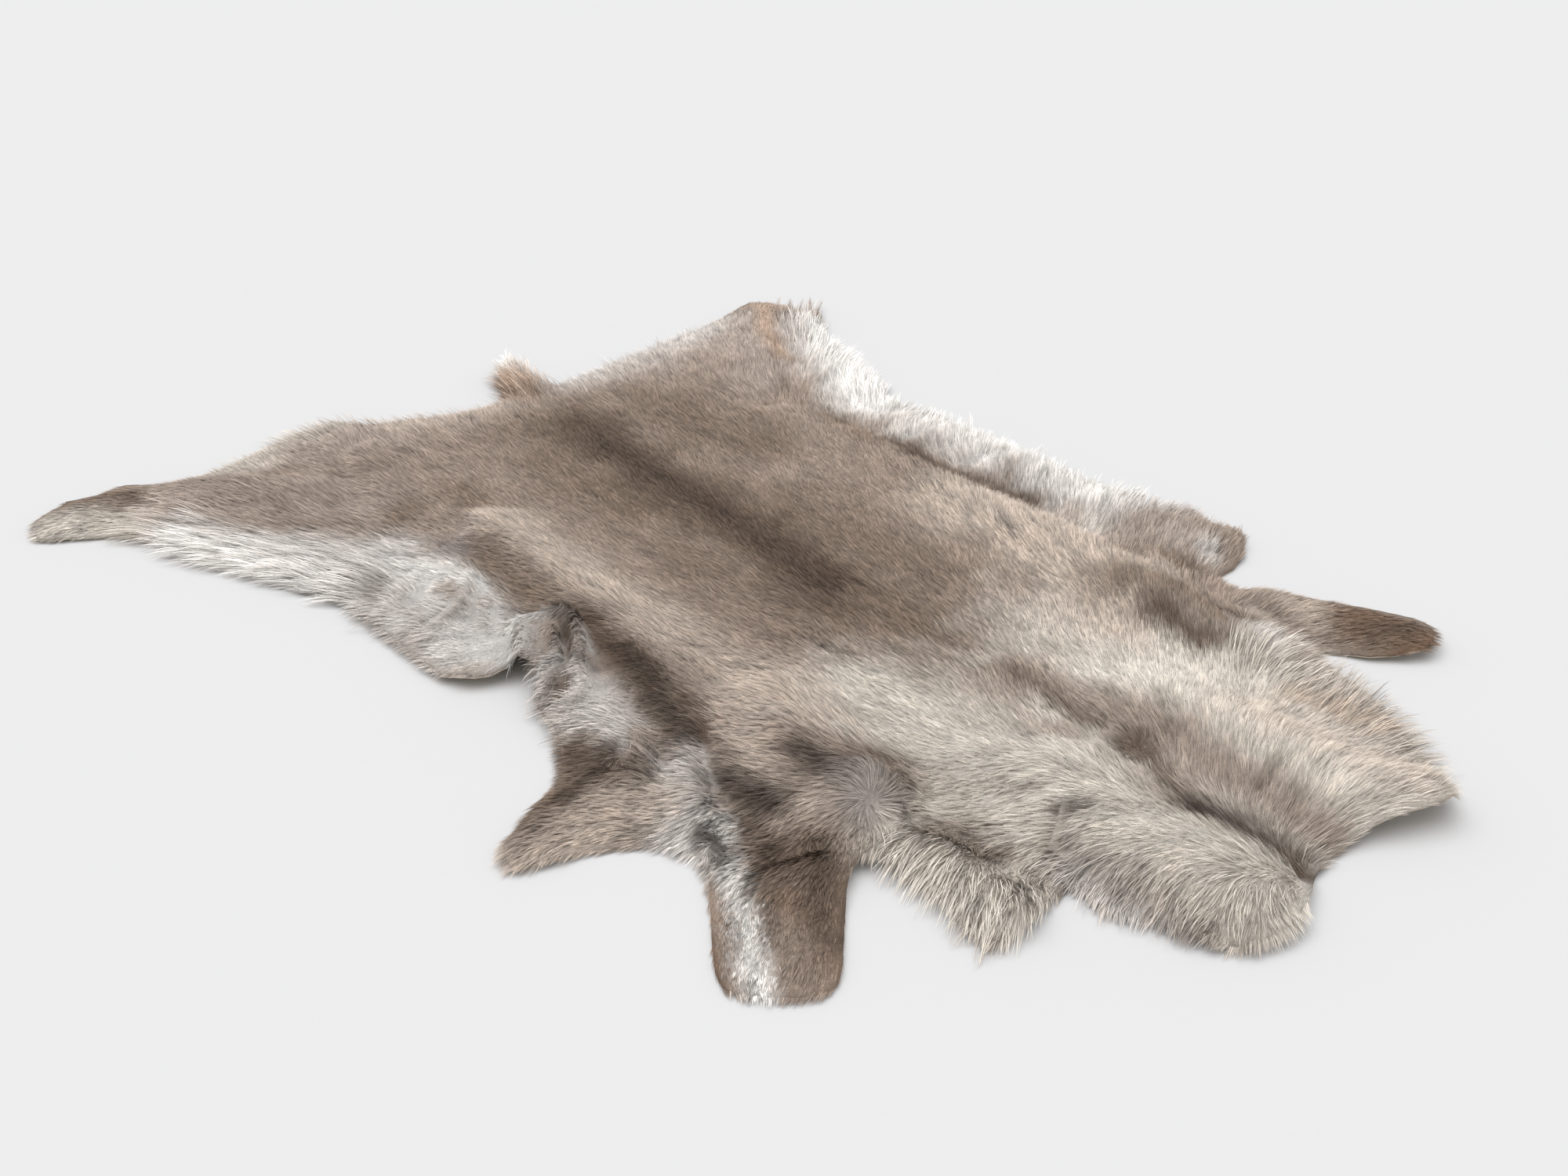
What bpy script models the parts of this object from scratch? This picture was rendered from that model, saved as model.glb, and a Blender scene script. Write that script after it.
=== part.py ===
"""A reindeer hide, tanned with its fur on, lying fur side up on a flat surface.

The hide is one skin: back, flanks, neck, tail and the four leg skins were never cut apart, so it is
one closed sheet. Its underside is the leather, flat where it rests and lifted where the hide folds.
Its upper side is the tops of the fur, so the sheet is as thick as the coat is deep, and its outline
reaches as far as the fur does.

Lengths are metres. "Station" is the distance along the spine from the tail root towards the neck and
"side" the distance from the spine, positive on the animal's left. The origin is the middle of the
spine on the surface that the hide rests on, +X points to the neck and +Z points up.
"""

from collections import namedtuple
from math import ceil, hypot, sqrt

import bmesh
import bpy
from mathutils import Vector, geometry

HIDE_NAME = "hide"
SPINE_MIDDLE = 0.66  # station of the origin
OUTLINE_STEP = 0.026  # longest piece of the outline
SHEET_STEP = 0.025  # spacing of the points inside the outline
EDGE_CLEARANCE = 0.55  # nearest an inside point comes to the outline, as a share of SHEET_STEP
RIM_DEPTH = 0.003  # bare leather and the last hairs at the very edge
RIM_TAPER = 0.035  # how far in from the edge the coat reaches its full depth
WELD = 0.00001

Stretch = namedtuple("Stretch", "name points")
Fold = namedtuple("Fold", "name route height left right")
Trough = namedtuple("Trough", "name route depth width")
Coat = namedtuple("Coat", "place station side depth")

# The outline, counter-clockwise seen from above: (station, side) of each point.
OUTLINE = (
    Stretch("tail", ((0.02, 0.035), (-0.03, 0.042), (-0.075, 0.042), (-0.078, 0.012), (-0.03, -0.02))),
    Stretch("right rump", ((0.02, -0.045), (0.02, -0.10), (0.0, -0.16), (-0.02, -0.22), (-0.055, -0.27),
                           (-0.05, -0.33), (-0.03, -0.39), (-0.015, -0.45), (-0.02, -0.50))),
    Stretch("right hind leg", ((-0.055, -0.54), (-0.045, -0.58), (-0.055, -0.615), (-0.03, -0.63),
                               (-0.02, -0.665), (0.03, -0.68), (0.06, -0.64), (0.085, -0.60))),
    Stretch("right thigh fringe", ((0.12, -0.575), (0.20, -0.555), (0.28, -0.515), (0.34, -0.495))),
    Stretch("right belly lobe", ((0.40, -0.475), (0.52, -0.472), (0.595, -0.470), (0.632, -0.450),
                                 (0.645, -0.415))),
    Stretch("right belly pleat", ((0.652, -0.392), (0.67, -0.405), (0.695, -0.425), (0.725, -0.432),
                                  (0.76, -0.44))),
    Stretch("right elbow flap", ((0.815, -0.47), (0.83, -0.50), (0.855, -0.54), (0.875, -0.572),
                                 (0.91, -0.58), (0.925, -0.55), (0.935, -0.51), (0.96, -0.465))),
    Stretch("right foreleg", ((1.0, -0.445), (1.05, -0.475), (1.10, -0.51), (1.145, -0.532),
                              (1.185, -0.505), (1.207, -0.455), (1.15, -0.395), (1.11, -0.355))),
    Stretch("right throat flap", ((1.10, -0.32), (1.16, -0.315), (1.215, -0.325), (1.25, -0.32),
                                  (1.245, -0.27), (1.235, -0.215))),
    Stretch("right neck lobe", ((1.265, -0.222), (1.31, -0.20), (1.36, -0.185), (1.39, -0.155),
                                (1.393, -0.11), (1.375, -0.065))),
    Stretch("left neck lobe", ((1.352, -0.02), (1.358, 0.04), (1.378, 0.085), (1.385, 0.12),
                               (1.35, 0.155), (1.28, 0.20), (1.21, 0.24), (1.14, 0.258))),
    Stretch("left foreleg", ((1.125, 0.272), (1.168, 0.297), (1.200, 0.336), (1.202, 0.364),
                             (1.178, 0.402), (1.145, 0.412), (1.105, 0.39), (1.055, 0.352),
                             (1.02, 0.33))),
    Stretch("left armpit", ((1.003, 0.345), (0.985, 0.315), (0.958, 0.32))),
    Stretch("left elbow flap", ((0.955, 0.35), (0.94, 0.385), (0.90, 0.43), (0.865, 0.412),
                                (0.82, 0.43), (0.80, 0.40))),
    Stretch("left belly", ((0.73, 0.385), (0.64, 0.372), (0.56, 0.38), (0.50, 0.362), (0.45, 0.38),
                           (0.40, 0.365))),
    Stretch("left thigh fringe", ((0.33, 0.375), (0.25, 0.395), (0.17, 0.425), (0.11, 0.455))),
    Stretch("left hind leg", ((0.07, 0.485), (0.04, 0.51), (0.0, 0.492), (-0.05, 0.478),
                              (-0.075, 0.45), (-0.055, 0.40))),
    Stretch("left rump", ((-0.035, 0.34), (-0.02, 0.27), (-0.005, 0.20), (0.01, 0.12), (0.02, 0.065))),
)

# Where the skin rises off the surface: the crest's route from (station, side) to (station, side),
# its height, and how far the fold reaches to the left and to the right of that route.
FOLDS = (
    Fold("right flank ridge", ((0.36, -0.275), (0.46, -0.285), (0.57, -0.288), (0.68, -0.302),
                               (0.77, -0.318), (0.86, -0.34)), 0.022, 0.09, 0.035),
    Fold("right belly rim", ((0.41, -0.335), (0.50, -0.345), (0.56, -0.358), (0.60, -0.37)),
         0.012, 0.03, 0.07),
    Fold("right belly lobe", ((0.38, -0.42), (0.48, -0.432), (0.57, -0.44)), 0.009, 0.05, 0.04),
    Fold("right belly tuck", ((0.47, -0.36), (0.51, -0.385), (0.53, -0.42)), 0.007, 0.025, 0.025),
    Fold("lifted lobe edge", ((0.615, -0.455), (0.645, -0.405)), 0.016, 0.03, 0.04),
    Fold("pleat crest", ((0.61, -0.34), (0.625, -0.37), (0.66, -0.40)), 0.022, 0.03, 0.03),
    Fold("pleat spur", ((0.63, -0.335), (0.67, -0.355), (0.70, -0.39)), 0.026, 0.035, 0.035),
    Fold("pocket rim", ((0.745, -0.345), (0.765, -0.39), (0.74, -0.42)), 0.013, 0.035, 0.035),
    Fold("right armpit swirl", ((0.81, -0.385), (0.85, -0.40)), 0.018, 0.045, 0.05),
    Fold("right armpit tuck", ((0.89, -0.345), (0.93, -0.385), (0.965, -0.41)), 0.010, 0.03, 0.03),
    Fold("right elbow flap", ((0.87, -0.44), (0.89, -0.50), (0.90, -0.55)), 0.007, 0.04, 0.04),
    Fold("right shoulder hump", ((0.86, -0.25), (0.93, -0.268), (1.01, -0.27)), 0.028, 0.09, 0.06),
    Fold("right shoulder bulge", ((0.93, -0.325), (0.99, -0.33)), 0.012, 0.04, 0.04),
    Fold("right chest ridge", ((1.03, -0.28), (1.07, -0.32), (1.09, -0.36)), 0.013, 0.05, 0.05),
    Fold("right foreleg crown", ((1.06, -0.40), (1.16, -0.46)), 0.006, 0.05, 0.05),
    Fold("right throat flap", ((1.12, -0.265), (1.17, -0.285), (1.225, -0.28)), 0.012, 0.04, 0.04),
    Fold("right neck roll", ((1.13, -0.12), (1.22, -0.135), (1.33, -0.12)), 0.031, 0.085, 0.075),
    Fold("left neck roll", ((1.10, 0.04), (1.22, 0.06), (1.30, 0.06), (1.375, 0.095)), 0.028, 0.10, 0.07),
    Fold("left flank ridge", ((0.32, 0.205), (0.48, 0.225), (0.66, 0.222), (0.80, 0.235), (0.96, 0.225)),
         0.018, 0.045, 0.09),
    Fold("left belly skirt", ((0.44, 0.325), (0.60, 0.33), (0.78, 0.34), (0.90, 0.375)),
         0.012, 0.045, 0.045),
    Fold("left skirt tuck 1", ((0.50, 0.285), (0.515, 0.35)), 0.009, 0.03, 0.03),
    Fold("left skirt tuck 2", ((0.62, 0.285), (0.645, 0.355)), 0.008, 0.035, 0.03),
    Fold("left skirt tuck 3", ((0.76, 0.30), (0.77, 0.37)), 0.008, 0.03, 0.04),
    Fold("left shoulder", ((0.96, 0.20), (1.02, 0.225), (1.08, 0.225)), 0.012, 0.06, 0.06),
    Fold("left foreleg crown", ((1.04, 0.300), (1.11, 0.335), (1.18, 0.360)), 0.021, 0.05, 0.045),
    Fold("left thigh", ((0.14, 0.30), (0.07, 0.38), (0.0, 0.43)), 0.014, 0.06, 0.06),
    Fold("left rump wrinkle", ((0.06, 0.24), (0.16, 0.22)), 0.006, 0.035, 0.035),
    Fold("right thigh", ((0.13, -0.37), (0.06, -0.46), (0.02, -0.54), (0.01, -0.62)), 0.016, 0.055, 0.06),
    Fold("right rump wrinkle", ((-0.01, -0.26), (0.07, -0.285), (0.17, -0.30)), 0.010, 0.04, 0.04),
    Fold("tail", ((0.0, 0.008), (-0.065, 0.026)), 0.006, 0.05, 0.05),
)

# Creases that show only in the upper side, where the fur parts or the coat is pressed flat.
TROUGHS = (
    Trough("spine", ((0.05, 0.0), (0.50, -0.005), (0.80, -0.03), (1.05, -0.012)), 0.005, 0.06),
    Trough("neck crease", ((1.07, -0.01), (1.16, -0.03), (1.24, -0.03), (1.34, -0.035)), 0.010, 0.04),
    Trough("shoulder crease", ((1.04, -0.215), (1.14, -0.235), (1.21, -0.21)), 0.008, 0.035),
    Trough("right flank crease", ((0.42, -0.315), (0.50, -0.322), (0.57, -0.326)), 0.006, 0.03),
    Trough("left flank crease", ((0.40, 0.27), (0.60, 0.275), (0.74, 0.285)), 0.005, 0.03),
    Trough("throat wrinkle", ((1.15, -0.09), (1.165, -0.14)), 0.006, 0.025),
)

# How deep the coat is at places on the hide; between them it changes smoothly.
COAT_DEPTH = (
    Coat("rump", 0.10, 0.0, 0.018),
    Coat("back", 0.50, 0.0, 0.018),
    Coat("withers", 0.90, 0.0, 0.019),
    Coat("neck", 1.25, 0.0, 0.024),
    Coat("right flank", 0.55, -0.28, 0.019),
    Coat("left flank", 0.55, 0.25, 0.019),
    Coat("right belly", 0.50, -0.43, 0.020),
    Coat("left belly", 0.60, 0.34, 0.018),
    Coat("right throat", 1.18, -0.27, 0.018),
    Coat("right elbow", 0.88, -0.50, 0.011),
    Coat("left elbow", 0.88, 0.38, 0.011),
    Coat("right fore foot", 1.14, -0.46, 0.007),
    Coat("left fore foot", 1.15, 0.35, 0.009),
    Coat("right thigh", 0.08, -0.42, 0.015),
    Coat("left thigh", 0.10, 0.35, 0.015),
    Coat("right hind foot", 0.0, -0.62, 0.007),
    Coat("left hind foot", -0.02, 0.45, 0.008),
    Coat("tail", -0.03, 0.01, 0.010),
)


def remove_scene_objects():
    """Empties the scene of whatever the file was opened with."""
    for thing in list(bpy.context.scene.objects):
        bpy.data.objects.remove(thing, do_unlink=True)


def spline_point(before, start, end, after, share):
    """The point at a share of the way from start to end on a smooth curve through all four."""
    return 0.5 * (
        2 * start
        + (end - before) * share
        + (2 * before - 5 * start + 4 * end - after) * share**2
        + (3 * start - before - 3 * end + after) * share**3
    )


def outline_points():
    """The closed outline as short pieces of one smooth curve through the table's points."""
    corners = [Vector(point) for stretch in OUTLINE for point in stretch.points]
    count = len(corners)
    points = []
    for index, start in enumerate(corners):
        end = corners[(index + 1) % count]
        pieces = ceil((end - start).length / OUTLINE_STEP)
        for piece in range(pieces):
            before, after = corners[index - 1], corners[(index + 2) % count]
            points.append(spline_point(before, start, end, after, piece / pieces))
    return points


def nearest_on(route, point):
    """The distance from a route to a point, and whether the point lies to the route's left."""
    best = None
    for start, end in zip(route, route[1:]):
        along = end - start
        share = min(max((point - start).dot(along) / along.length_squared, 0.0), 1.0)
        offset = point - (start + along * share)
        if best is None or offset.length < best[0]:
            best = (offset.length, along.cross(offset) > 0)
    return best


def inside(outline, point):
    """True where the point lies within the closed outline."""
    crossings = 0
    for start, end in zip(outline, outline[1:] + outline[:1]):
        if (start.y > point.y) != (end.y > point.y):
            share = (point.y - start.y) / (end.y - start.y)
            crossings += point.x < start.x + share * (end.x - start.x)
    return crossings % 2 == 1


def inner_points(outline):
    """Points in staggered rows that fill the outline and keep clear of it."""
    closed = outline + outline[:1]
    row_gap = SHEET_STEP * sqrt(3) / 2
    low_x, high_x = min(p.x for p in outline), max(p.x for p in outline)
    low_y, high_y = min(p.y for p in outline), max(p.y for p in outline)
    points = []
    for row in range(ceil((high_y - low_y) / row_gap)):
        shift = SHEET_STEP / 2 * (row % 2)
        for column in range(ceil((high_x - low_x) / SHEET_STEP)):
            point = Vector((low_x + shift + column * SHEET_STEP, low_y + row * row_gap))
            if inside(outline, point) and nearest_on(closed, point)[0] > EDGE_CLEARANCE * SHEET_STEP:
                points.append(point)
    return points


def swell(distance, reach):
    """A smooth rise: 1 on the crest, 0 from its reach outwards."""
    share = min(distance / reach, 1.0)
    return (1 - share**2) ** 2


def skin_height(point):
    """How high the leather is above the surface that the hide lies on."""
    height = 0.0
    for fold in FOLDS:
        distance, on_left = nearest_on([Vector(p) for p in fold.route], point)
        height += fold.height * swell(distance, fold.left if on_left else fold.right)
    return height


def coat_depth(point, edge_distance):
    """How deep the coat is, from the leather to the tops of the fur."""
    weights = [1 / (hypot(point.x - c.station, point.y - c.side) ** 3 + WELD) for c in COAT_DEPTH]
    depth = sum(w * c.depth for w, c in zip(weights, COAT_DEPTH)) / sum(weights)
    for trough in TROUGHS:
        distance, _ = nearest_on([Vector(p) for p in trough.route], point)
        depth -= trough.depth * swell(distance, trough.width)
    full = 1 - swell(edge_distance, RIM_TAPER)
    return RIM_DEPTH + (depth - RIM_DEPTH) * full


def flat_sheet(outline):
    """The hide's plan as a flat triangle mesh."""
    points = outline + inner_points(outline)
    count = len(outline)
    edges = [(index, (index + 1) % count) for index in range(count)]
    plan = geometry.delaunay_2d_cdt(points, edges, [], 1, WELD)
    sheet = bmesh.new()
    corners = [sheet.verts.new((point.x, point.y, 0.0)) for point in plan[0]]
    for triangle in plan[2]:
        sheet.faces.new([corners[index] for index in triangle])
    bmesh.ops.recalc_face_normals(sheet, faces=sheet.faces)
    if sum(face.normal.z for face in sheet.faces) < 0:
        bmesh.ops.reverse_faces(sheet, faces=sheet.faces)
    return sheet


def build_hide():
    """The whole hide: the plan, lifted into its folds, and given the depth of its coat."""
    outline = outline_points()
    closed = outline + outline[:1]
    sheet = flat_sheet(outline)
    under_verts = list(sheet.verts)
    upper = bmesh.ops.extrude_face_region(sheet, geom=list(sheet.faces), use_keep_orig=True)
    upper_verts = [item for item in upper["geom"] if isinstance(item, bmesh.types.BMVert)]
    for vert in under_verts:
        vert.co.z = skin_height(vert.co.xy)
    for vert in upper_verts:
        place = vert.co.xy
        vert.co.z = skin_height(place) + coat_depth(place, nearest_on(closed, place)[0])
    for vert in sheet.verts:
        vert.co.x -= SPINE_MIDDLE
    bmesh.ops.triangulate(sheet, faces=list(sheet.faces))
    bmesh.ops.recalc_face_normals(sheet, faces=sheet.faces)
    mesh = bpy.data.meshes.new(HIDE_NAME)
    sheet.to_mesh(mesh)
    sheet.free()
    mesh.shade_smooth()
    return bpy.data.objects.new(HIDE_NAME, mesh)


def fur_material():
    """Grey-brown reindeer fur."""
    material = bpy.data.materials.new("fur")
    material.use_nodes = True
    shader = material.node_tree.nodes["Principled BSDF"]
    shader.inputs["Base Color"].default_value = (0.32, 0.25, 0.19, 1.0)
    shader.inputs["Roughness"].default_value = 0.9
    shader.inputs["Metallic"].default_value = 0.0
    return material


def main():
    remove_scene_objects()
    collection = bpy.data.collections.new("reindeer_hide")
    bpy.context.scene.collection.children.link(collection)
    hide = build_hide()
    hide.data.materials.append(fur_material())
    collection.objects.link(hide)


main()
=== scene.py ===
# %% [markdown]
# A reindeer hide, tanned with its fur on, laid fur side up on a pale floor. The hide's solid, with its
# true outline and folds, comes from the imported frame. This lesson reads that solid, lays a thin leather
# under it, fills the coat with soft underfur, and then grows the hair with Geometry Nodes, so that each
# hair follows the way the coat lies on the animal.

# %% Load the frame
from collections import namedtuple
from math import cos, pi, radians, sin, sqrt

import bmesh
import bpy
import numpy as np
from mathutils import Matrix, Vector, geometry, noise
from mathutils.bvhtree import BVHTree


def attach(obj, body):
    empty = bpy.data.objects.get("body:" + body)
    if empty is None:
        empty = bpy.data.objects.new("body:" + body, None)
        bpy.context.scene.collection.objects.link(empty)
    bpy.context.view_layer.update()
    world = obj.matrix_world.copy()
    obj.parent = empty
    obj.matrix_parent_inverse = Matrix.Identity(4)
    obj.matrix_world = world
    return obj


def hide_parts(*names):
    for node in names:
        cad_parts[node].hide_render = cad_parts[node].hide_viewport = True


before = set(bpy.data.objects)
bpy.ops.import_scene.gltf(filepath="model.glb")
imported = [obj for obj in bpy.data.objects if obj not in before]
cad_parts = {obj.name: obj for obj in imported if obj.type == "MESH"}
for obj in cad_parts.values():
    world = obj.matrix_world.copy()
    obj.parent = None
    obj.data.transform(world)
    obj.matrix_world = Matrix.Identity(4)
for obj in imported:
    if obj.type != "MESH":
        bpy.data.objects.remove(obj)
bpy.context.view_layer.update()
HIDE = "hide"
BODY = "root"
SPINE_MIDDLE = 0.66  # distance from the tail root to the origin, along the spine

# %% [markdown]
# The camera stands at the neck's right-hand side, a metre above the floor, and looks down along the
# hide to the left hind leg. It is made first, so that every later step can be looked at from it.

# %% Camera
EYE_HEIGHT = 1.0
EYE_STATION, EYE_SIDE = 2.06, -1.206
EYE_PITCH, EYE_HEADING = radians(29.0), radians(50.95)
LENS, SENSOR_WIDTH = 42.55, 36.0  # millimetres


def put_in_scene(name, data):
    """A new object of this data, linked into the scene."""
    thing = bpy.data.objects.new(name, data)
    bpy.context.scene.collection.objects.link(thing)
    return thing


camera_data = bpy.data.cameras.new("camera")
camera_data.lens = LENS
camera_data.sensor_width = SENSOR_WIDTH
camera = put_in_scene("camera", camera_data)
camera.location = (EYE_STATION - SPINE_MIDDLE, EYE_SIDE, EYE_HEIGHT)
camera.rotation_euler = (pi / 2 - EYE_PITCH, 0.0, EYE_HEADING)
bpy.context.scene.camera = camera
print("camera at", tuple(round(c, 3) for c in camera.location))

# %% [markdown]
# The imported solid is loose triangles, so a merged copy of it is what gets measured. Its rim is the one
# ring of upright faces, and the lower edges of that ring, walked one after another, are the outline.

# %% Read the solid
UPRIGHT = 0.05  # a face whose normal's z is smaller than this belongs to the rim
MERGE = 1e-5  # corners nearer than this are one corner
solid = bmesh.new()
solid.from_mesh(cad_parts[HIDE].data)
bmesh.ops.remove_doubles(solid, verts=solid.verts, dist=MERGE)
solid.normal_update()
solid_tree = BVHTree.FromBMesh(solid)


def is_rim(face):
    """True for an upright face of the rim."""
    return abs(face.normal.z) < UPRIGHT


def walk_outline():
    """The outline's points in order, counter-clockwise seen from above."""
    links = {}
    for edge in solid.edges:
        faces = edge.link_faces
        if len(faces) == 2 and is_rim(faces[0]) != is_rim(faces[1]):
            other = faces[1] if is_rim(faces[0]) else faces[0]
            if other.normal.z < 0:
                first, second = edge.verts
                links.setdefault(first, []).append(second)
                links.setdefault(second, []).append(first)
    start = max(links, key=lambda vert: vert.co.x)
    path, previous, here = [start], None, start
    while True:
        onward = next((v for v in links[here] if v is not previous and v is not start), None)
        if onward is None:
            break
        path.append(onward)
        previous, here = here, onward
    points = [vert.co.xy for vert in path]
    turn = sum(a.cross(b) for a, b in zip(points, points[1:] + points[:1]))
    return points if turn > 0 else points[::-1]


outline = walk_outline()
outline_array = np.array(outline)
print("outline points:", len(outline))

# %% [markdown]
# Every surface of the hide starts from one flat plan: the outline drawn in by a few millimetres, filled
# with staggered rows of points and triangulated. Small helpers measure how far points are from a route,
# because folds, colours and the lie of the hair are all laid out along routes over the hide.


# %% Plan helpers
EDGE_CLEARANCE = 0.6  # inner points keep this share of a step away from the edge


def route_distance(points, route):
    """The distance of each point from a route, and the sign of its side, positive on the left."""
    best = np.full(len(points), np.inf)
    side = np.ones(len(points))
    ends = route if len(route) > 1 else (route[0], route[0])
    for start, end in zip(ends, ends[1:]):
        start, end = np.array(start, float), np.array(end, float)
        along = end - start
        reach = max(along @ along, 1e-12)
        share = np.clip((points - start) @ along / reach, 0, 1)[:, None]
        offset = points - (start + share * along)
        distance = np.hypot(offset[:, 0], offset[:, 1])
        nearer = distance < best
        best = np.where(nearer, distance, best)
        cross = along[0] * offset[:, 1] - along[1] * offset[:, 0]
        side = np.where(nearer, np.where(cross >= 0, 1.0, -1.0), side)
    return best, side


def from_tail(route):
    """A route given as (station, side) pairs, in the frame's own coordinates."""
    return [(station - SPINE_MIDDLE, side) for station, side in route]


def drawn_in(points, distance):
    """The outline moved inwards by a distance."""
    count = len(points)
    moved = []
    for index in range(count):
        along = points[(index + 1) % count] - points[index - 1]
        inward = Vector((-along.y, along.x)).normalized()
        moved.append(points[index] + inward * distance)
    return moved


def inside(points, ring):
    """Which points lie within a closed ring."""
    crossings = np.zeros(len(points), int)
    ends = np.roll(ring, -1, axis=0)
    for (ax, ay), (bx, by) in zip(ring, ends):
        spans = (ay > points[:, 1]) != (by > points[:, 1])
        if ay != by:
            crossings += spans & (points[:, 0] < ax + (points[:, 1] - ay) / (by - ay) * (bx - ax))
    return crossings % 2 == 1


def flat_plan(inset, step):
    """Triangles that fill the outline drawn in by inset: an array of points and an array of faces."""
    ring = drawn_in(outline, inset)
    smooth_ring = []
    for start, end in zip(ring, ring[1:] + ring[:1]):
        pieces = max(1, round((end - start).length / step))
        smooth_ring += [start.lerp(end, piece / pieces) for piece in range(pieces)]
    ring_array = np.array(smooth_ring)
    low, high = ring_array.min(0), ring_array.max(0)
    row_gap = step * sqrt(3) / 2
    rows = np.arange(low[1], high[1], row_gap)
    grid = []
    for row, y in enumerate(rows):
        stations = np.arange(low[0] + step / 2 * (row % 2), high[0], step)
        grid.append(np.column_stack([stations, np.full(len(stations), y)]))
    points = np.vstack(grid)
    points = points[inside(points, ring_array)]
    distance, _ = route_distance(points, np.vstack([ring_array, ring_array[:1]]))
    points = points[distance > step * EDGE_CLEARANCE]
    count = len(smooth_ring)
    edges = [(index, (index + 1) % count) for index in range(count)]
    corners = smooth_ring + [Vector(point) for point in points]
    plan = geometry.delaunay_2d_cdt(corners, edges, [], 1, 1e-6)
    places = np.array(plan[0])
    faces = np.array(plan[2])
    a, b, c = places[faces[:, 0]], places[faces[:, 1]], places[faces[:, 2]]
    area = (b - a)[:, 0] * (c - a)[:, 1] - (b - a)[:, 1] * (c - a)[:, 0]
    faces[area < 0] = faces[area < 0][:, ::-1]
    return places, faces


def wander(places, scale, seed):
    """Smooth noise from -1 to 1 over the plan."""
    return np.array([noise.noise(Vector((x * scale, y * scale, seed))) for x, y in places])


PLAN_INSET, FINE_STEP = 0.006, 0.0055
fine_places, fine_faces = flat_plan(PLAN_INSET, FINE_STEP)
print("fine plan:", len(fine_places), "points,", len(fine_faces), "faces")

# %% [markdown]
# The underside of the solid says how high the leather lies, and its upper side where the fur ends. Both
# are found by looking straight up and straight down at every point of the plan, and are smoothed, because
# the solid is faceted. Finer creases than the solid holds are laid on top, one by one: the sharp pleat
# behind the right elbow, the tucks of the belly and the wrinkles of the neck.

# %% Heights of the leather and of the fur
Crease = namedtuple("Crease", "name route height width")
CREASES = (
    Crease("pleat lip", ((0.588, -0.377), (0.601, -0.358), (0.607, -0.333), (0.634, -0.326), (0.668, -0.342),
                         (0.692, -0.360)), 0.016, 0.009),
    Crease("pleat slit", ((0.628, -0.338), (0.662, -0.356), (0.680, -0.370)), -0.018, 0.009),
    Crease("pleat left edge", ((0.600, -0.372), (0.628, -0.393), (0.653, -0.404)), 0.013, 0.009),
    Crease("pleat hollow", ((0.630, -0.362), (0.655, -0.385)), -0.012, 0.014),
    Crease("pleat right edge",
           ((0.682, -0.368), (0.679, -0.386), (0.684, -0.400), (0.708, -0.418)), 0.012, 0.009),
    Crease("pocket", ((0.697, -0.380), (0.712, -0.400)), -0.018, 0.012),
    Crease("pocket lip", ((0.695, -0.366), (0.715, -0.366), (0.732, -0.385), (0.730, -0.412)), 0.008, 0.010),
    Crease("belly tuck", ((0.49, -0.352), (0.51, -0.372), (0.535, -0.385)), -0.006, 0.014),
    Crease("belly ridge", ((0.46, -0.345), (0.485, -0.372), (0.515, -0.395), (0.53, -0.43)), 0.007, 0.011),
    Crease("belly furrow", ((0.475, -0.362), (0.500, -0.392), (0.512, -0.425)), -0.007, 0.010),
    Crease("belly hollow", ((0.43, -0.39), (0.46, -0.42)), -0.006, 0.018),
    Crease("belly dimple", ((0.535, -0.36), (0.56, -0.375)), -0.006, 0.013),
    Crease("armpit tuck", ((0.83, -0.40), (0.845, -0.42)), -0.010, 0.016),
    Crease("elbow crease", ((0.86, -0.375), (0.885, -0.395), (0.90, -0.41)), -0.008, 0.016),
    Crease("shoulder front", ((0.865, -0.325), (0.90, -0.35), (0.95, -0.375)), -0.008, 0.018),
    Crease("foreleg crease", ((1.06, -0.355), (1.04, -0.40), (1.06, -0.44)), -0.006, 0.014),
    Crease("shoulder crease",
           ((1.06, -0.250), (1.10, -0.262), (1.15, -0.247), (1.168, -0.217)), -0.007, 0.013),
    Crease("neck wrinkle", ((1.188, -0.142), (1.172, -0.156), (1.190, -0.187)), -0.009, 0.011),
    Crease("neck scratch", ((1.09, -0.160), (1.118, -0.161), (1.142, -0.144)), -0.004, 0.006),
    Crease("neck parting",
           ((1.235, -0.062), (1.271, -0.045), (1.297, -0.045), (1.352, -0.055)), -0.019, 0.015),
    Crease("neck parting tail", ((1.09, -0.01), (1.12, -0.03), (1.15, -0.045)), -0.007, 0.016),
    Crease("neck tip curl", ((1.345, -0.155), (1.365, -0.165), (1.38, -0.185)), -0.010, 0.012),
    Crease("throat valley", ((1.200, -0.185), (1.220, -0.200), (1.238, -0.214)), -0.010, 0.014),
    Crease("left lip", ((1.345, 0.125), (1.37, 0.12), (1.385, 0.105)), 0.006, 0.012),
    Crease("left flank tuck 1", ((0.475, 0.28), (0.485, 0.33)), -0.006, 0.014),
    Crease("left flank tuck 2", ((0.575, 0.28), (0.59, 0.33)), -0.006, 0.014),
    Crease("left armpit tuck", ((0.90, 0.32), (0.935, 0.35)), -0.008, 0.016),
    Crease("left arm fold", ((1.03, 0.275), (1.08, 0.275), (1.12, 0.285)), -0.008, 0.016),
    Crease("thigh crease", ((0.30, -0.275), (0.345, -0.285)), -0.005, 0.014),
    Crease("rump crease", ((0.03, -0.24), (0.05, -0.29), (0.12, -0.325)), -0.005, 0.018),
)
LOOK_FROM = 1.0
SMOOTHING_ROUNDS = 6
LEATHER = 0.0016  # how thick the leather is
COAT_FOOT = LEATHER * 1.3  # the coat starts just clear of the leather's upper side
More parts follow.
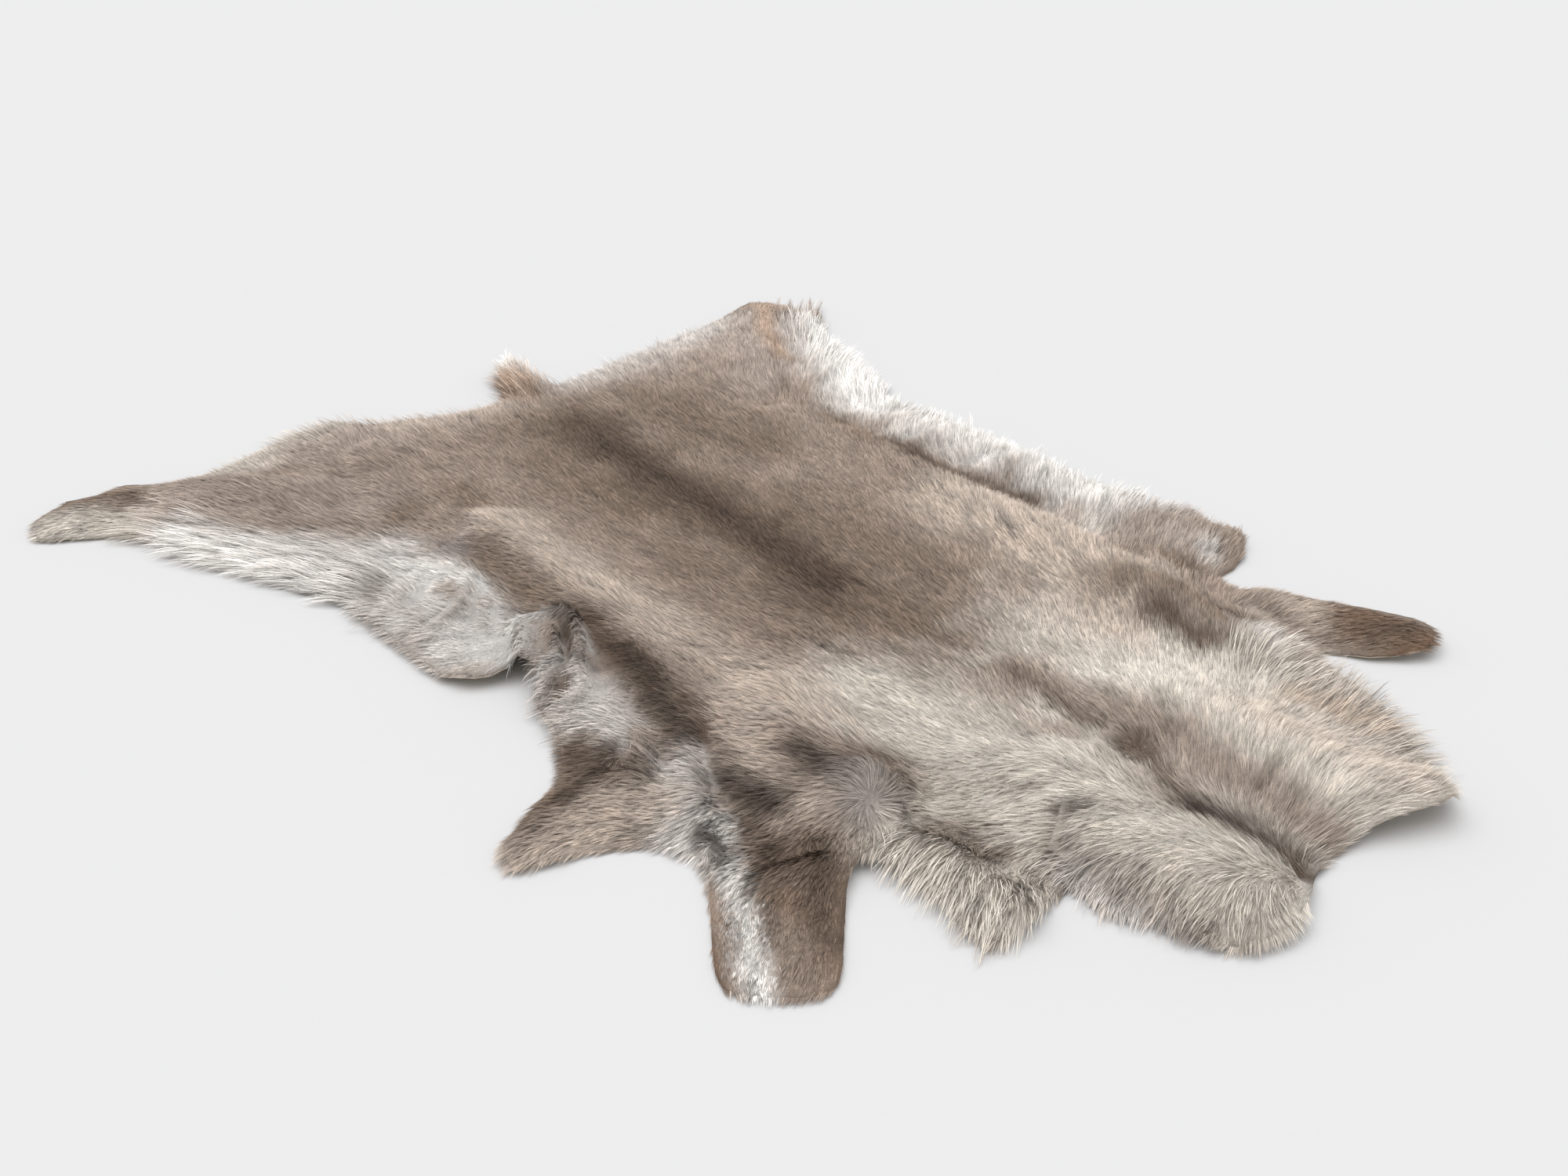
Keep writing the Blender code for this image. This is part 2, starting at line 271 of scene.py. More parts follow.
THINNEST_COAT = 0.0015
UNEVENNESS = 0.10  # how much the coat's depth wanders over a few centimetres


def look(places, direction):
    """The solid's height at each place, seen along a direction from above or from below."""
    start_z = -direction.z * LOOK_FROM
    heights = np.zeros(len(places))
    for index, (x, y) in enumerate(places):
        hit = solid_tree.ray_cast(Vector((x, y, start_z)), direction)[0]
        heights[index] = hit.z if hit else np.nan
    missed = np.isnan(heights)
    heights[missed] = 0.0
    return heights


def neighbours_mean(values, faces):
    """Each point's value averaged over the corners that share a face with it."""
    total, count = np.zeros_like(values), np.zeros(len(values))
    for first, second in ((0, 1), (1, 2), (2, 0), (1, 0), (2, 1), (0, 2)):
        np.add.at(total, faces[:, first], values[faces[:, second]])
        np.add.at(count, faces[:, first], 1)
    return total / np.maximum(count, 1)


def swell(distance, reach):
    """A smooth rise: 1 on the route, 0 from its reach outwards."""
    share = np.clip(distance / reach, 0, 1)
    return (1 - share**2) ** 2


def hide_heights(places, faces):
    """Heights of the leather's underside and of the fur's tops over the plan."""
    under, top = look(places, Vector((0, 0, 1))), look(places, Vector((0, 0, -1)))
    for _ in range(SMOOTHING_ROUNDS):
        under = 0.5 * under + 0.5 * neighbours_mean(under, faces)
        top = 0.5 * top + 0.5 * neighbours_mean(top, faces)
    depth = np.maximum(top - under, THINNEST_COAT + LEATHER)
    for crease in CREASES:
        distance, _ = route_distance(places, from_tail(crease.route))
        under = under + crease.height * swell(distance, crease.width)
    under = np.maximum(under, 0.0)
    depth = depth * (1 + UNEVENNESS * (wander(places, 16.0, 29.0) + wander(places, 40.0, 31.0)))
    return under, depth


def read_off(places, values):
    """The fine plan's values read off at other places."""
    surface = BVHTree.FromPolygons(np.column_stack([fine_places, values]).tolist(), fine_faces.tolist())
    found = np.zeros(len(places))
    for index, (x, y) in enumerate(places):
        hit = surface.ray_cast(Vector((x, y, LOOK_FROM)), Vector((0, 0, -1)))[0]
        found[index] = (hit or surface.find_nearest(Vector((x, y, 0.02)))[0]).z
    return found


fine_under, fine_depth = hide_heights(fine_places, fine_faces)
rim_distance, _ = route_distance(fine_places, np.vstack([outline_array, outline_array[:1]]))
print("leather lies from", round(fine_under.min(), 4), "to", round(fine_under.max(), 4), "m high")

# %% [markdown]
# The leather is one closed thin sheet. The underfur is the dense woolly mass at the foot of the coat: a
# closed body that fills about half of its depth, so that no floor or leather shows between the hairs.


# %% Sheets from the plan
def closed_sheet(name, places, faces, low, high):
    """A closed body between two height fields over the plan, with its edge closed."""
    body = bmesh.new()
    lower = [body.verts.new((x, y, z)) for (x, y), z in zip(places, low)]
    upper = [body.verts.new((x, y, z)) for (x, y), z in zip(places, high)]
    for a, b, c in faces:
        body.faces.new((lower[c], lower[b], lower[a]))
        body.faces.new((upper[a], upper[b], upper[c]))
    uses = {}
    for a, b, c in faces:
        for pair in ((a, b), (b, c), (c, a)):
            uses[pair] = True
    for a, b in uses:
        if (b, a) not in uses:
            body.faces.new((lower[a], lower[b], upper[b], upper[a]))
    mesh = bpy.data.meshes.new(name)
    body.to_mesh(mesh)
    body.free()
    mesh.shade_smooth()
    return put_in_scene(name, mesh)


LEATHER_INSET, LEATHER_STEP = 0.007, 0.012
UNDERFUR_STEP = 0.009
ROOTS_SHARE = 0.42  # how far up the coat the hair pieces start
UNDERFUR_SHARE = 0.55  # how far up the coat the underfur fills
leather_places, leather_faces = flat_plan(LEATHER_INSET, LEATHER_STEP)
leather_under = read_off(leather_places, fine_under)
leather = closed_sheet("leather", leather_places, leather_faces, leather_under, leather_under + LEATHER)
wool_places, wool_faces = flat_plan(PLAN_INSET, UNDERFUR_STEP)
wool_under = read_off(wool_places, fine_under) + COAT_FOOT
wool_depth = (read_off(wool_places, fine_depth) - LEATHER) * UNDERFUR_SHARE
underfur = closed_sheet("underfur", wool_places, wool_faces, wool_under, wool_under + wool_depth)
print("leather faces:", len(leather.data.polygons), "underfur faces:", len(underfur.data.polygons))

# %% [markdown]
# Fur looks right only where it lies right. On a living reindeer the hair runs back from the neck to the
# tail, down the flanks and down the legs, and it parts and whirls at the shoulders and elbows. Each row
# here is one stroke of a comb: where it is and which way it goes. Between strokes the direction is blended.

# %% The lie of the hair
Stroke = namedtuple("Stroke", "place station side heading")
STROKES = (
    Stroke("rump", 0.08, 0.0, 180), Stroke("loin", 0.30, 0.0, 180), Stroke("back", 0.55, 0.0, 180),
    Stroke("withers", 0.80, -0.02, 178), Stroke("nape", 1.00, 0.0, 170), Stroke("neck", 1.14, -0.03, 165),
    Stroke("left of the parting", 1.18, 0.01, 112), Stroke("left of the parting end", 1.28, 0.0, 95),
    Stroke("left of the parting tip", 1.335, 0.0, 72), Stroke("right of the parting", 1.20, -0.06, 192),
    Stroke("right of the parting end", 1.275, -0.06, 202), Stroke("right roll crown", 1.32, -0.09, 212),
    Stroke("tail", -0.05, 0.015, 168),
    Stroke("right loin", 0.25, -0.18, 186), Stroke("right back", 0.55, -0.16, 192),
    Stroke("right withers", 0.85, -0.14, 196), Stroke("right flank", 0.50, -0.27, 205),
    Stroke("right flank front", 0.75, -0.29, 212), Stroke("right belly", 0.45, -0.42, 222),
    Stroke("right belly edge", 0.57, -0.45, 250), Stroke("right pleat", 0.64, -0.38, 275),
    Stroke("right groin", 0.25, -0.47, 235), Stroke("right thigh", 0.12, -0.38, 215),
    Stroke("right hock", 0.02, -0.55, 250), Stroke("right hind foot", 0.02, -0.64, 262),
    Stroke("right rump", -0.02, -0.30, 190), Stroke("right rump edge", -0.03, -0.42, 200),
    Stroke("right pocket", 0.73, -0.39, 250), Stroke("right armpit", 0.80, -0.37, 225),
    Stroke("right elbow", 0.86, -0.47, 262), Stroke("right elbow tip", 0.90, -0.55, 274),
    Stroke("right shoulder", 0.93, -0.25, 205), Stroke("right shoulder low", 0.92, -0.32, 222),
    Stroke("right chest", 1.00, -0.38, 285), Stroke("right chest gap", 0.96, -0.44, 275),
    Stroke("right forearm", 1.07, -0.38, 310), Stroke("right fore foot", 1.16, -0.47, 318),
    Stroke("right foreleg inner", 1.08, -0.48, 325), Stroke("right throat", 1.17, -0.28, 295),
    Stroke("right throat front", 1.22, -0.29, 305), Stroke("right neck side", 1.10, -0.20, 250),
    Stroke("right neck low", 1.28, -0.19, 300), Stroke("right neck", 1.25, -0.12, 235),
    Stroke("right neck end", 1.385, -0.12, 335), Stroke("right neck tip", 1.37, -0.17, 300),
    Stroke("left neck", 1.22, 0.09, 100), Stroke("left neck edge", 1.27, 0.17, 75),
    Stroke("left neck end", 1.35, 0.08, 60), Stroke("left neck far", 1.17, 0.22, 85),
    Stroke("left nape", 1.08, 0.10, 140), Stroke("left shoulder", 0.98, 0.22, 140),
    Stroke("left forearm", 1.07, 0.30, 48), Stroke("left fore foot", 1.17, 0.36, 28),
    Stroke("left elbow", 0.87, 0.38, 110), Stroke("left withers", 0.85, 0.14, 165),
    Stroke("left back", 0.55, 0.14, 170), Stroke("left flank", 0.55, 0.24, 158),
    Stroke("left belly", 0.60, 0.35, 120), Stroke("left belly front", 0.78, 0.37, 112),
    Stroke("left belly rear", 0.44, 0.34, 125), Stroke("left loin", 0.25, 0.18, 174),
    Stroke("left thigh", 0.12, 0.33, 150), Stroke("left hock", 0.0, 0.45, 125),
    Stroke("left groin", 0.22, 0.38, 120), Stroke("left rump", 0.0, 0.25, 165),
)
Whirl = namedtuple("Whirl", "name station side radius turn")
WHIRLS = (
    Whirl("right shoulder parting", 1.049, -0.288, 0.055, 20),
    Whirl("right elbow tuft", 0.992, -0.418, 0.026, 50),
    Whirl("armpit whirl", 0.838, -0.408, 0.030, 60),
    Whirl("pocket whirl", 0.705, -0.390, 0.022, 70),
    Whirl("left shoulder whirl", 1.04, 0.25, 0.035, 20),
    Whirl("neck whirl", 1.130, -0.022, 0.026, 10),
)
NEARNESS_POWER = 3.0  # how much more the nearer rows of a table count than the farther ones
NEAREST = 1e-5
DRIFT = 0.42  # how far, in radians, the lie wanders over a few centimetres


def nearness(places, row):
    """How much a table row that has a station and a side counts at each place."""
    distance, _ = route_distance(places, from_tail([(row.station, row.side)]))
    return 1 / (distance**NEARNESS_POWER + NEAREST)


def lie_of_hair(places):
    """The direction in the plan that the hair points at each place, as unit vectors."""
    total = np.zeros((len(places), 2))
    for stroke in STROKES:
        heading = radians(stroke.heading)
        total += nearness(places, stroke)[:, None] * np.array((cos(heading), sin(heading)))
    heading = np.arctan2(total[:, 1], total[:, 0])
    for whirl in WHIRLS:
        centre = np.array(from_tail([(whirl.station, whirl.side)])[0])
        offset = places - centre
        distance = np.hypot(offset[:, 0], offset[:, 1])
        share = swell(distance, whirl.radius)
        outward = np.arctan2(offset[:, 1], offset[:, 0]) + radians(whirl.turn)
        blended = np.column_stack([
            (1 - share) * np.cos(heading) + share * np.cos(outward),
            (1 - share) * np.sin(heading) + share * np.sin(outward),
        ])
        heading = np.arctan2(blended[:, 1], blended[:, 0])
    heading = heading + DRIFT * wander(places, 14.0, 3.0) + 0.5 * DRIFT * wander(places, 45.0, 7.0)
    return np.column_stack([np.cos(heading), np.sin(heading)])


fine_lie = lie_of_hair(fine_places)
print("combed", len(fine_lie), "points with", len(STROKES), "strokes")

# %% [markdown]
# The coat's colours are painted as soft patches, one over another, as they lie on the animal: a dark
# line down the spine, a grey-brown back, paler flanks and neck, a dark band above a white belly, and
# russet legs. Some patches are painted shade in the creases, the pleat and the neck's parting, and one is a
# painted highlight along the pleat's lip. A patch's edge is ragged, because the noise that moves it is as
# fine as a tuft of hair.

# %% Colours of the coat
PALETTE = {
    "taupe": (152, 136, 124),
    "pale taupe": (172, 158, 149),
    "brown": (122, 105, 91),
    "umber": (96, 80, 68),
    "spine": (88, 71, 58),
    "dark": (66, 54, 46),
    "fawn": (190, 177, 165),
    "cream": (203, 197, 188),
    "grey": (158, 149, 142),
    "lavender": (136, 127, 123),
    "white": (225, 223, 220),
    "belly grey": (204, 200, 196),
    "russet": (122, 98, 80),
    "tan": (178, 153, 132),
}
Patch = namedtuple("Patch", "name colour route width strength")
PATCHES = (
    # rump and back
    Patch("rump", "pale taupe", ((0.03, -0.30), (0.03, 0.0), (0.06, 0.28)), 0.06, 0.7),
    Patch("rump edge right", "cream", ((-0.04, -0.26), (-0.045, -0.34), (0.0, -0.42)), 0.045, 0.7),
    Patch("rump edge middle", "fawn", ((0.045, -0.06), (0.03, -0.14), (0.0, -0.22)), 0.028, 0.7),
    Patch("rump edge left", "belly grey", ((0.02, 0.08), (0.0, 0.20), (-0.02, 0.34)), 0.055, 0.8),
    Patch("back", "brown", ((0.17, -0.02), (0.35, -0.04), (0.55, -0.03), (0.86, -0.03)), 0.10, 0.9),
    Patch("left back", "brown", ((0.20, 0.12), (0.36, 0.125)), 0.055, 0.85),
    Patch("left back rear", "brown", ((0.12, 0.10), (0.17, 0.11)), 0.030, 0.6),
    Patch("left back middle", "brown", ((0.52, 0.06), (0.74, 0.07)), 0.060, 0.65),
    Patch("right back", "brown", ((0.24, -0.11), (0.42, -0.11)), 0.045, 0.7),
    Patch("right back middle", "brown", ((0.56, -0.13), (0.80, -0.13)), 0.050, 0.45),
    Patch("right loin streaks", "brown", ((0.24, -0.23), (0.34, -0.24)), 0.028, 0.7),
    Patch("spine", "spine",
          ((0.17, -0.015), (0.30, -0.02), (0.45, -0.022), (0.60, -0.025), (0.74, -0.045)), 0.046, 1.0),
    Patch("spine core", "dark",
          ((0.22, -0.015), (0.40, -0.022), (0.58, -0.028), (0.72, -0.045)), 0.020, 0.55),
    Patch("spine end", "brown", ((0.76, -0.035), (0.88, -0.015), (1.00, -0.005)), 0.028, 0.75),
    # right thigh and hind foot
    Patch("right thigh", "pale taupe", ((0.20, -0.34), (0.12, -0.43), (0.05, -0.50)), 0.055, 0.7),
    Patch("right thigh dark", "brown", ((0.24, -0.30), (0.265, -0.325)), 0.024, 0.85),
    Patch("right thigh streak", "brown", ((0.13, -0.41), (0.20, -0.425)), 0.018, 0.35),
    Patch("right groin", "white", ((0.14, -0.565), (0.24, -0.51), (0.36, -0.455)), 0.062, 1.0),
    Patch("right groin inner", "belly grey", ((0.26, -0.44), (0.36, -0.385)), 0.038, 0.85),
    Patch("right hock", "fawn", ((0.03, -0.535), (0.10, -0.55)), 0.030, 0.7),
    Patch("right hind foot white", "cream", ((0.02, -0.655), (0.05, -0.62), (0.08, -0.585)), 0.036, 1.0),
    Patch("right hind foot brown", "brown",
          ((-0.035, -0.625), (-0.025, -0.60), (-0.01, -0.565), (0.02, -0.55)), 0.019, 1.0),
    Patch("right hind foot under", "umber", ((0.045, -0.675), (0.078, -0.65)), 0.008, 0.7),
    # right flank and belly
    Patch("right flank light", "fawn", ((0.36, -0.245), (0.56, -0.245), (0.66, -0.24)), 0.045, 0.95),
    Patch("right flank front", "fawn", ((0.70, -0.24), (0.80, -0.235), (0.88, -0.215)), 0.045, 0.6),
    Patch("right belly", "belly grey", ((0.36, -0.40), (0.47, -0.40), (0.60, -0.42)), 0.078, 1.0),
    Patch("right belly white", "white", ((0.37, -0.385), (0.42, -0.36), (0.47, -0.345)), 0.020, 0.6),
    Patch("right belly rim", "white", ((0.47, -0.345), (0.54, -0.36), (0.60, -0.378)), 0.011, 0.6),
    Patch("right belly edge", "fawn", ((0.53, -0.475), (0.59, -0.475), (0.635, -0.43)), 0.013, 0.7),
    Patch("right belly flecks", "taupe", ((0.455, -0.372), (0.48, -0.378)), 0.011, 0.8),
    Patch("right belly fleck", "brown", ((0.505, -0.358), (0.52, -0.362)), 0.007, 0.7),
    Patch("right belly shade", "grey", ((0.40, -0.42), (0.42, -0.44)), 0.012, 0.6),
    Patch("right belly flecks low", "grey", ((0.505, -0.385), (0.525, -0.415)), 0.010, 0.8),
    Patch("right armpit", "belly grey", ((0.66, -0.385), (0.74, -0.38), (0.80, -0.385)), 0.042, 0.85),
    # The pocket's brown patch is painted shade in the pocket's hollow.
    Patch("pocket dark", "brown", ((0.697, -0.382), (0.712, -0.400)), 0.010, 0.95),
    # Inside the pleat, the taupe and umber patches are painted shade along its slit and hollow.
    Patch("pleat shade", "taupe", ((0.625, -0.350), (0.645, -0.375), (0.660, -0.395)), 0.014, 0.75),
    Patch("pleat slit", "umber", ((0.630, -0.334), (0.662, -0.352), (0.680, -0.366)), 0.006, 0.9),
    # The white line along the pleat's lip is a painted highlight.
    Patch("pleat lip", "white",
          ((0.590, -0.375), (0.600, -0.352), (0.612, -0.330), (0.640, -0.322), (0.675, -0.338)), 0.006, 0.9),
    Patch("right flank brown", "brown", ((0.40, -0.300), (0.50, -0.308), (0.62, -0.312)), 0.026, 0.95),
    Patch("right flank dark", "umber",
          ((0.60, -0.308), (0.66, -0.312), (0.72, -0.314), (0.80, -0.335), (0.87, -0.350)), 0.024, 1.0),
    Patch("right flank darkest", "dark",
          ((0.70, -0.310), (0.75, -0.312), (0.80, -0.330), (0.855, -0.344)), 0.016, 0.95),
    Patch("right flank rear", "lavender", ((0.360, -0.305), (0.385, -0.325)), 0.024, 0.85),
    # right shoulder
    Patch("right shoulder", "fawn", ((0.84, -0.22), (0.92, -0.235)), 0.060, 0.9),
    Patch("right shoulder low", "fawn", ((0.87, -0.28), (0.95, -0.30), (1.01, -0.32)), 0.045, 0.8),
    Patch("shoulder brown", "taupe", ((0.93, -0.275), (0.985, -0.295)), 0.024, 0.8),
    Patch("shoulder patch 1", "dark", ((0.955, -0.283), (1.015, -0.280)), 0.016, 0.95),
    Patch("shoulder patch 2", "dark", ((0.915, -0.360), (0.95, -0.350), (0.99, -0.340)), 0.018, 1.0),
    Patch("shoulder patch 3", "umber", ((0.985, -0.372), (1.015, -0.376)), 0.014, 0.85),
    Patch("shoulder patch 4", "umber", ((0.820, -0.310), (0.86, -0.325), (0.89, -0.340)), 0.013, 0.85),
    Patch("shoulder rim", "fawn", ((0.893, -0.350), (0.900, -0.380)), 0.008, 0.8),
    Patch("shoulder parting", "lavender", ((1.030, -0.278), (1.055, -0.300)), 0.024, 0.9),
    Patch("shoulder parting edge", "dark", ((1.058, -0.262), (1.085, -0.270), (1.115, -0.280)), 0.015, 1.0),
    Patch("chest", "brown", ((1.04, -0.355), (1.10, -0.350)), 0.032, 0.85),
    # The umber patch low on the chest is painted shade in the crease where the foreleg meets the shoulder.
    Patch("chest dark", "umber", ((1.04, -0.385), (1.085, -0.365), (1.10, -0.375)), 0.016, 0.9),
    # right elbow
    Patch("elbow gap", "belly grey", ((0.89, -0.385), (0.94, -0.41), (0.985, -0.45)), 0.034, 0.95),
    Patch("right elbow", "brown",
          ((0.80, -0.43), (0.835, -0.46), (0.855, -0.51), (0.866, -0.535)), 0.021, 0.9),
    Patch("right elbow light", "fawn", ((0.90, -0.42), (0.915, -0.48), (0.905, -0.560)), 0.034, 0.95),
    Patch("right elbow core", "dark", ((0.842, -0.435), (0.855, -0.475)), 0.010, 0.7),
    Patch("armpit whirl", "umber", ((0.800, -0.435), (0.830, -0.425), (0.864, -0.415)), 0.018, 0.85),
    Patch("right elbow tip", "brown", ((0.900, -0.588), (0.93, -0.590)), 0.009, 0.6),
    # right foreleg
    Patch("forearm", "brown", ((1.06, -0.41), (1.12, -0.435)), 0.045, 0.9),
    Patch("fore foot", "russet", ((1.12, -0.42), (1.18, -0.455), (1.20, -0.48)), 0.040, 0.5),
    Patch("fore foot dark", "umber", ((1.10, -0.385), (1.155, -0.425)), 0.016, 0.7),
    Patch("fore foot middle", "taupe", ((1.12, -0.445), (1.19, -0.48)), 0.022, 0.8),
    Patch("foreleg stripe", "white",
          ((0.975, -0.395), (1.04, -0.433), (1.097, -0.466), (1.14, -0.490), (1.187, -0.515)), 0.015, 0.9),
    Patch("foreleg outer", "tan", ((1.02, -0.455), (1.07, -0.485)), 0.008, 0.8),
    Patch("foreleg outer end", "russet", ((1.085, -0.500), (1.150, -0.538)), 0.009, 0.85),
    Patch("chest tuft", "dark", ((0.975, -0.411), (1.012, -0.422)), 0.011, 0.9),
    # neck
    Patch("neck middle", "cream", ((1.05, 0.03), (1.20, 0.04), (1.34, 0.03)), 0.075, 0.8),
    Patch("left neck", "cream", ((0.98, 0.11), (1.12, 0.13), (1.22, 0.12), (1.32, 0.10)), 0.12, 0.95),
    Patch("left neck front", "fawn", ((1.18, 0.10), (1.32, 0.11)), 0.055, 0.75),
    Patch("left neck far", "tan", ((1.168, 0.167), (1.251, 0.180)), 0.018, 0.5),
    Patch("right nape", "cream", ((0.92, -0.14), (1.02, -0.15), (1.14, -0.14)), 0.085, 0.95),
    Patch("right neck", "cream", ((1.14, -0.14), (1.25, -0.12), (1.36, -0.11)), 0.08, 1.0),
    Patch("neck strip", "taupe", ((0.98, 0.0), (1.12, 0.004), (1.22, 0.0), (1.33, -0.004)), 0.023, 0.85),
    Patch("neck line", "umber", ((0.96, -0.008), (1.02, -0.016), (1.08, -0.021)), 0.012, 0.8),
    Patch("neck tuft", "umber", ((1.115, -0.022), (1.15, -0.020)), 0.013, 0.5),
    Patch("neck line middle", "umber", ((1.13, -0.02), (1.18, -0.035), (1.23, -0.045)), 0.014, 0.8),
    # The dark and umber patches of the neck parting are painted shade in its valley, over the neck line's
    # darker hair.
    Patch("neck parting", "dark",
          ((1.240, -0.060), (1.271, -0.045), (1.297, -0.045), (1.332, -0.053)), 0.018, 1.0),
    Patch("neck parting end", "umber", ((1.332, -0.053), (1.358, -0.053)), 0.014, 0.9),
    Patch("right roll flecks", "taupe", ((1.21, -0.065), (1.23, -0.085)), 0.014, 0.6),
    Patch("right neck side", "grey", ((1.20, -0.185), (1.26, -0.187), (1.34, -0.185)), 0.015, 0.8),
    Patch("right neck tip", "umber", ((1.330, -0.194), (1.378, -0.190)), 0.015, 0.85),
    Patch("right neck fringe", "belly grey", ((1.22, -0.205), (1.33, -0.20)), 0.014, 0.8),
    # The dark and brown patches of the neck wrinkle are painted shade in the wrinkle.
    Patch("neck wrinkle", "dark", ((1.172, -0.158), (1.188, -0.144)), 0.008, 0.85),
    Patch("neck wrinkle low", "brown", ((1.175, -0.165), (1.190, -0.187)), 0.007, 0.6),
    Patch("neck scratch", "umber", ((1.09, -0.160), (1.118, -0.161), (1.142, -0.144)), 0.0035, 0.8),
    Patch("throat", "cream", ((1.10, -0.290), (1.20, -0.280)), 0.045, 0.95),
    Patch("throat tips", "cream", ((1.17, -0.305), (1.235, -0.30), (1.235, -0.25)), 0.028, 0.85),
    Patch("throat russet", "tan", ((1.16, -0.330), (1.205, -0.335)), 0.010, 0.7),
    # The brown crease line and the dark notch on the throat are painted shade in the creases there.
    Patch("throat crease", "brown",
          ((1.10, -0.263), (1.126, -0.258), (1.156, -0.245), (1.167, -0.217)), 0.008, 0.75),
    Patch("throat notch", "dark", ((1.225, -0.212), (1.242, -0.228)), 0.007, 0.8),
    # left side
    Patch("left withers", "fawn", ((0.66, 0.205), (0.76, 0.215), (0.86, 0.205), (0.95, 0.15)), 0.065, 0.95),
    Patch("left belly", "white", ((0.36, 0.335), (0.56, 0.335), (0.72, 0.335), (0.82, 0.35)), 0.055, 0.85),
    Patch("left flank dark rear", "brown", ((0.35, 0.255), (0.42, 0.235), (0.47, 0.238)), 0.022, 0.95),
    Patch("left flank dark", "umber",
          ((0.48, 0.262), (0.54, 0.250), (0.62, 0.255), (0.70, 0.275)), 0.021, 1.0),
    Patch("left skirt streak", "brown", ((0.635, 0.31), (0.655, 0.285)), 0.007, 0.7),
    Patch("left elbow", "taupe", ((0.83, 0.32), (0.85, 0.37), (0.91, 0.40)), 0.032, 0.9),
    Patch("left elbow front", "taupe", ((0.90, 0.39), (0.93, 0.37)), 0.018, 0.8),
    Patch("left elbow tuft", "belly grey", ((0.905, 0.35), (0.925, 0.335)), 0.013, 0.8),
    Patch("left elbow shade", "brown", ((0.885, 0.305), (0.935, 0.300)), 0.011, 0.9),
    Patch("left shoulder", "brown", ((0.92, 0.200), (0.97, 0.215), (1.03, 0.228)), 0.044, 0.95),
    Patch("left forearm root", "taupe", ((1.00, 0.27), (1.03, 0.285)), 0.030, 0.9),
    Patch("left shoulder dark", "umber", ((0.985, 0.180), (1.049, 0.178)), 0.020, 1.0),
    Patch("left shoulder tuft", "belly grey", ((1.059, 0.235), (1.10, 0.215)), 0.014, 0.8),
    Patch("left forearm", "fawn", ((1.035, 0.290), (1.085, 0.308)), 0.030, 0.85),
    Patch("left fore foot", "russet", ((1.12, 0.335), (1.18, 0.345), (1.20, 0.32)), 0.036, 1.0),
    Patch("left fore foot core", "umber", ((1.145, 0.325), (1.165, 0.345)), 0.016, 0.7),
    Patch("left foreleg inner", "fawn", ((1.11, 0.262), (1.17, 0.280)), 0.012, 0.8),
    # left thigh and hind foot
    Patch("left thigh", "pale taupe", ((0.20, 0.27), (0.08, 0.36)), 0.055, 0.8),
    Patch("left groin", "white", ((0.10, 0.44), (0.22, 0.375), (0.34, 0.325)), 0.045, 1.0),
    Patch("left thigh line", "tan", ((0.00, 0.425), (0.10, 0.355), (0.17, 0.325)), 0.013, 0.75),
    Patch("left groin mark", "umber", ((0.225, 0.28), (0.25, 0.265)), 0.009, 0.7),
    Patch("left hind foot", "tan", ((-0.04, 0.44), (0.0, 0.465)), 0.018, 0.7),
    # tail
    Patch("tail", "tan", ((0.03, -0.01), (-0.02, 0.0)), 0.026, 0.8),
    Patch("tail tip", "white", ((-0.045, 0.012), (-0.10, 0.03)), 0.035, 0.95),
)
EDGE_RAGGEDNESS = 0.45
PATCH_FADE = 1.6  # a patch fades out at this many of its widths from its route
MOTTLE = 0.09  # how much the brightness wanders over a few centimetres
STREAK, STREAK_REACH = 0.26, 0.022  # how dark the streaks along the lie are, and how far each one runs
STREAK_STEPS, STREAK_GAIN = 7, 2.6
# The flecks are painted shade where the hair parts, partly the darker underlayer's colour.
FLECK, FLECK_START = 0.60, 0.35  # how dark the flecks are where the hair opens, and how rare


def linear(colour):
    """A display colour from 0 to 255 as linear light."""
    share = np.array(colour) / 255
    return np.where(share <= 0.04045, share / 12.92, ((share + 0.055) / 1.055) ** 2.4)


def streaks(places):
    """Noise drawn out along the lie of the hair, from about -1 to 1."""
    lie = lie_of_hair(places)
    total = np.zeros(len(places))
    for step in np.linspace(-1, 1, STREAK_STEPS):
        total += wander(places + lie * step * STREAK_REACH, 75.0, 23.0)
    return np.clip(total / STREAK_STEPS * STREAK_GAIN, -1, 1)


def coat_colours(places):
    """The colour of the fur at each place, with some painted shade and a painted highlight, in linear light.
    """
    colours = np.tile(linear(PALETTE["taupe"]), (len(places), 1))
    ragged = wander(places, 18.0, 11.0) + 0.6 * wander(places, 55.0, 13.0)
    for patch in PATCHES:
        distance, _ = route_distance(places, from_tail(patch.route))
        distance = np.maximum(distance + EDGE_RAGGEDNESS * patch.width * ragged, 0)
        share = (patch.strength * swell(distance, patch.width * PATCH_FADE))[:, None]
        colours = colours * (1 - share) + linear(PALETTE[patch.colour]) * share
    streak = streaks(places)
    # Flecks: painted shade where the hair parts.
    fleck = np.clip((-streak - FLECK_START) / (1 - FLECK_START), 0, 1) * (wander(places, 26.0, 37.0) > 0)
    mottle = wander(places, 20.0, 17.0) + wander(places, 60.0, 19.0)
    brightness = 1 + MOTTLE * mottle + STREAK * streak - FLECK * fleck
    return colours * brightness[:, None]


fine_colours = coat_colours(fine_places)
print("painted", len(PATCHES), "patches")

# %% [markdown]
# The coat is not equally long everywhere: short and tight on the legs, a centimetre and a half on the back,
# and long and loose on the neck, the belly and behind the thighs. Each row gives one place's hair.

